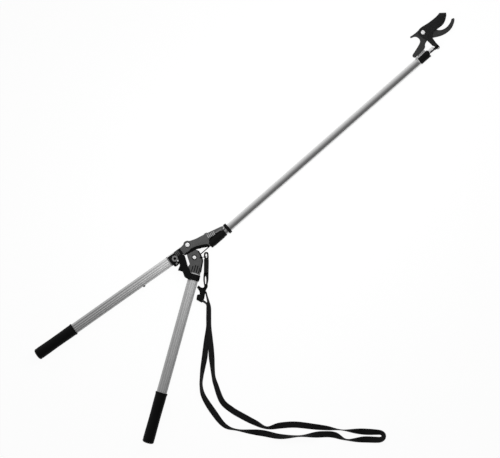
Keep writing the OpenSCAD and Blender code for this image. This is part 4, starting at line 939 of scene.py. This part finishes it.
# return spring: a wire wound on a helix; in the tool it is pressed together as the cable is drawn in, here it keeps one
# length
spring = {"from": 930.6, "to": 989.4, "r": 3.7, "wire": 1.1, "turns": 12, "perTurn": 28, "around": 10}
t = np.linspace(0, 1, spring["turns"] * spring["perTurn"] + 1)[:, None]
wind, wireTurn = 2 * np.pi * spring["turns"] * t, np.linspace(0, 2 * np.pi, spring["around"] + 1)[None]
out = spring["r"] + spring["wire"] / 2 * np.cos(wireTurn)
along = spring["from"] + t * (spring["to"] - spring["from"]) + spring["wire"] / 2 * np.sin(wireTurn)
rows = np.stack(np.broadcast_arrays(along, rope["y"] + out * np.cos(wind), midHeight + out * np.sin(wind)), -1)
rows = pointed(rows, rows[0, :-1].mean(0), rows[-1, :-1].mean(0))
returnSpring = makePiece("returnSpring", gridShape(rows, np.arange(len(rows))[:, None], wireTurn), "frame",
                         [zincSteel], ["return_spring"], sharp=80)
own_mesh(returnSpring)

# crimped sleeve between the cable and its fork: dents by a cosine to the fourth, and ends that fall away
crimp = {"from": 1022.0, "to": 1040.0, "r": 2.4, "bore": 1.3, "dents": 4, "deep": 0.3, "ease": 0.94}
share = np.linspace(0, 1, 60)
swell = crimp["r"] - crimp["deep"] * np.maximum(np.cos(2 * np.pi * crimp["dents"] * share), 0) ** 4
swell = swell - 0.6 * np.maximum(np.abs(share - 0.5) * 2 - crimp["ease"], 0) * 10
run = crimp["from"] + share * (crimp["to"] - crimp["from"])
crimpProfile = np.concatenate([[(run[0], crimp["bore"])], np.column_stack([run, swell]),
                               [(run[-1], crimp["bore"]), (run[0], crimp["bore"])]])
makePiece("cableCrimp", lathe(crimpProfile, (0, rope["y"], midHeight), "x", 40), "cable", [oxideSteel], ())

# washer under the fork's pin
pinRing = {"r": 5.4, "bore": 2.5, "low": 25.42, "high": 25.83}
profile = easedRing([(pinRing["low"], pinRing["bore"]), (pinRing["low"], pinRing["r"]), (pinRing["high"], pinRing["r"]),
                     (pinRing["high"], pinRing["bore"])], 0.15)
makePiece("pinWasher", lathe(profile, (*screws["forkPin"]["at"], 0), turns=48), "cable", [oxideSteel], ())
print("cable done")

# the small solids that stay as they are, each with its finish
finishes = {
    castPaint: ["socket_rivet_upper", "socket_rivet_lower", "lever_rivet_left", "lever_rivet_right"],
    zincSteel: ["upper_handle_rivet", "lower_handle_rivet", "cable_stop"],
    hookSteel: ["head_rivet_lower", "head_rivet_upper"],
    bushBronze: ["cable_guide", "lever_bush", "blade_bush", "spring_seat"],
    castAluminium: ["cable_cam"],
    ropeSteel: ["cable_tail"],
}
for material, names in finishes.items():
    for node in names:
        mesh = frame["nodes"][node].data
        mesh.materials.clear()
        mesh.materials.append(material)

# ground: white, with only a soft trace of shadow
floor = {"reach": 12, "glow": 0.95}
ground, tree, shader = finish("matWhiteGround", {"Base Color": linear("#fafafa"), "Roughness": 1.0,
                                                 "Specular IOR Level": 0.0})
rays = add(tree, "ShaderNodeLightPath").outputs
seen = add(tree, "ShaderNodeMath", {0: rays["Is Camera Ray"], 1: rays["Is Glossy Ray"]}, operation="MAXIMUM")
seen = add(tree, "ShaderNodeMath", {0: seen, 1: rays["Is Transmission Ray"]}, operation="MAXIMUM")
share = add(tree, "ShaderNodeMath", {0: seen, 1: floor["glow"]}, operation="MULTIPLY")
glow = add(tree, "ShaderNodeEmission", {"Color": (1, 1, 1, 1), "Strength": 1.0})
both = add(tree, "ShaderNodeMixShader", {0: share, 1: shader, 2: glow})
feed(tree, tree.nodes["Material Output"], {0: both})
floorMesh = bpy.data.meshes.new("ground")
floorMesh.from_pydata([(x * floor["reach"], y * floor["reach"], 0) for x, y in ((-1, -1), (1, -1), (1, 1), (-1, 1))],
                      [], [(0, 1, 2, 3)])
floorMesh.materials.append(ground)
floorPiece = bpy.data.objects.new("ground", floorMesh)
scene.collection.objects.link(floorPiece)

# light: a soft sky, brighter on the picture's upper left, and a soft lamp overhead that metal doesn't mirror
studio = {"darkSide": -0.6, "power": 2.0, "gain": 0.66, "base": 0.16}
sky = bpy.data.worlds.new("studioSky")
scene.world = sky
sky.use_nodes = True
tree = sky.node_tree
tree.nodes.clear()
heading = add(tree, "ShaderNodeSeparateXYZ", {0: add(tree, "ShaderNodeTexCoord").outputs["Generated"]}).outputs[1]
toward = add(tree, "ShaderNodeMapRange", {0: heading, 1: studio["darkSide"], 2: 1.0})
grown = add(tree, "ShaderNodeMath", {0: toward, 1: studio["power"]}, operation="POWER")
level = add(tree, "ShaderNodeMath", {0: grown, 1: studio["gain"], 2: studio["base"]}, operation="MULTIPLY_ADD")
add(tree, "ShaderNodeOutputWorld", {0: add(tree, "ShaderNodeBackground", {0: (1, 1, 1, 1), 1: level})})

lamp = {"at": (0.5, 0.02, 0.75), "toward": (0.5, -0.02, 0.0), "size": (1.4, 0.7), "power": 11.0}
light = bpy.data.lights.new("keyLamp", "AREA")
light.shape = "RECTANGLE"
light.size, light.size_y = lamp["size"]
light.energy = lamp["power"]
key = bpy.data.objects.new("keyLamp", light)
key.location = lamp["at"]
key.rotation_euler = (Vector(lamp["toward"]) - Vector(lamp["at"])).to_track_quat("-Z", "Y").to_euler()
key.visible_glossy = False
scene.collection.objects.link(key)
print("stage done")
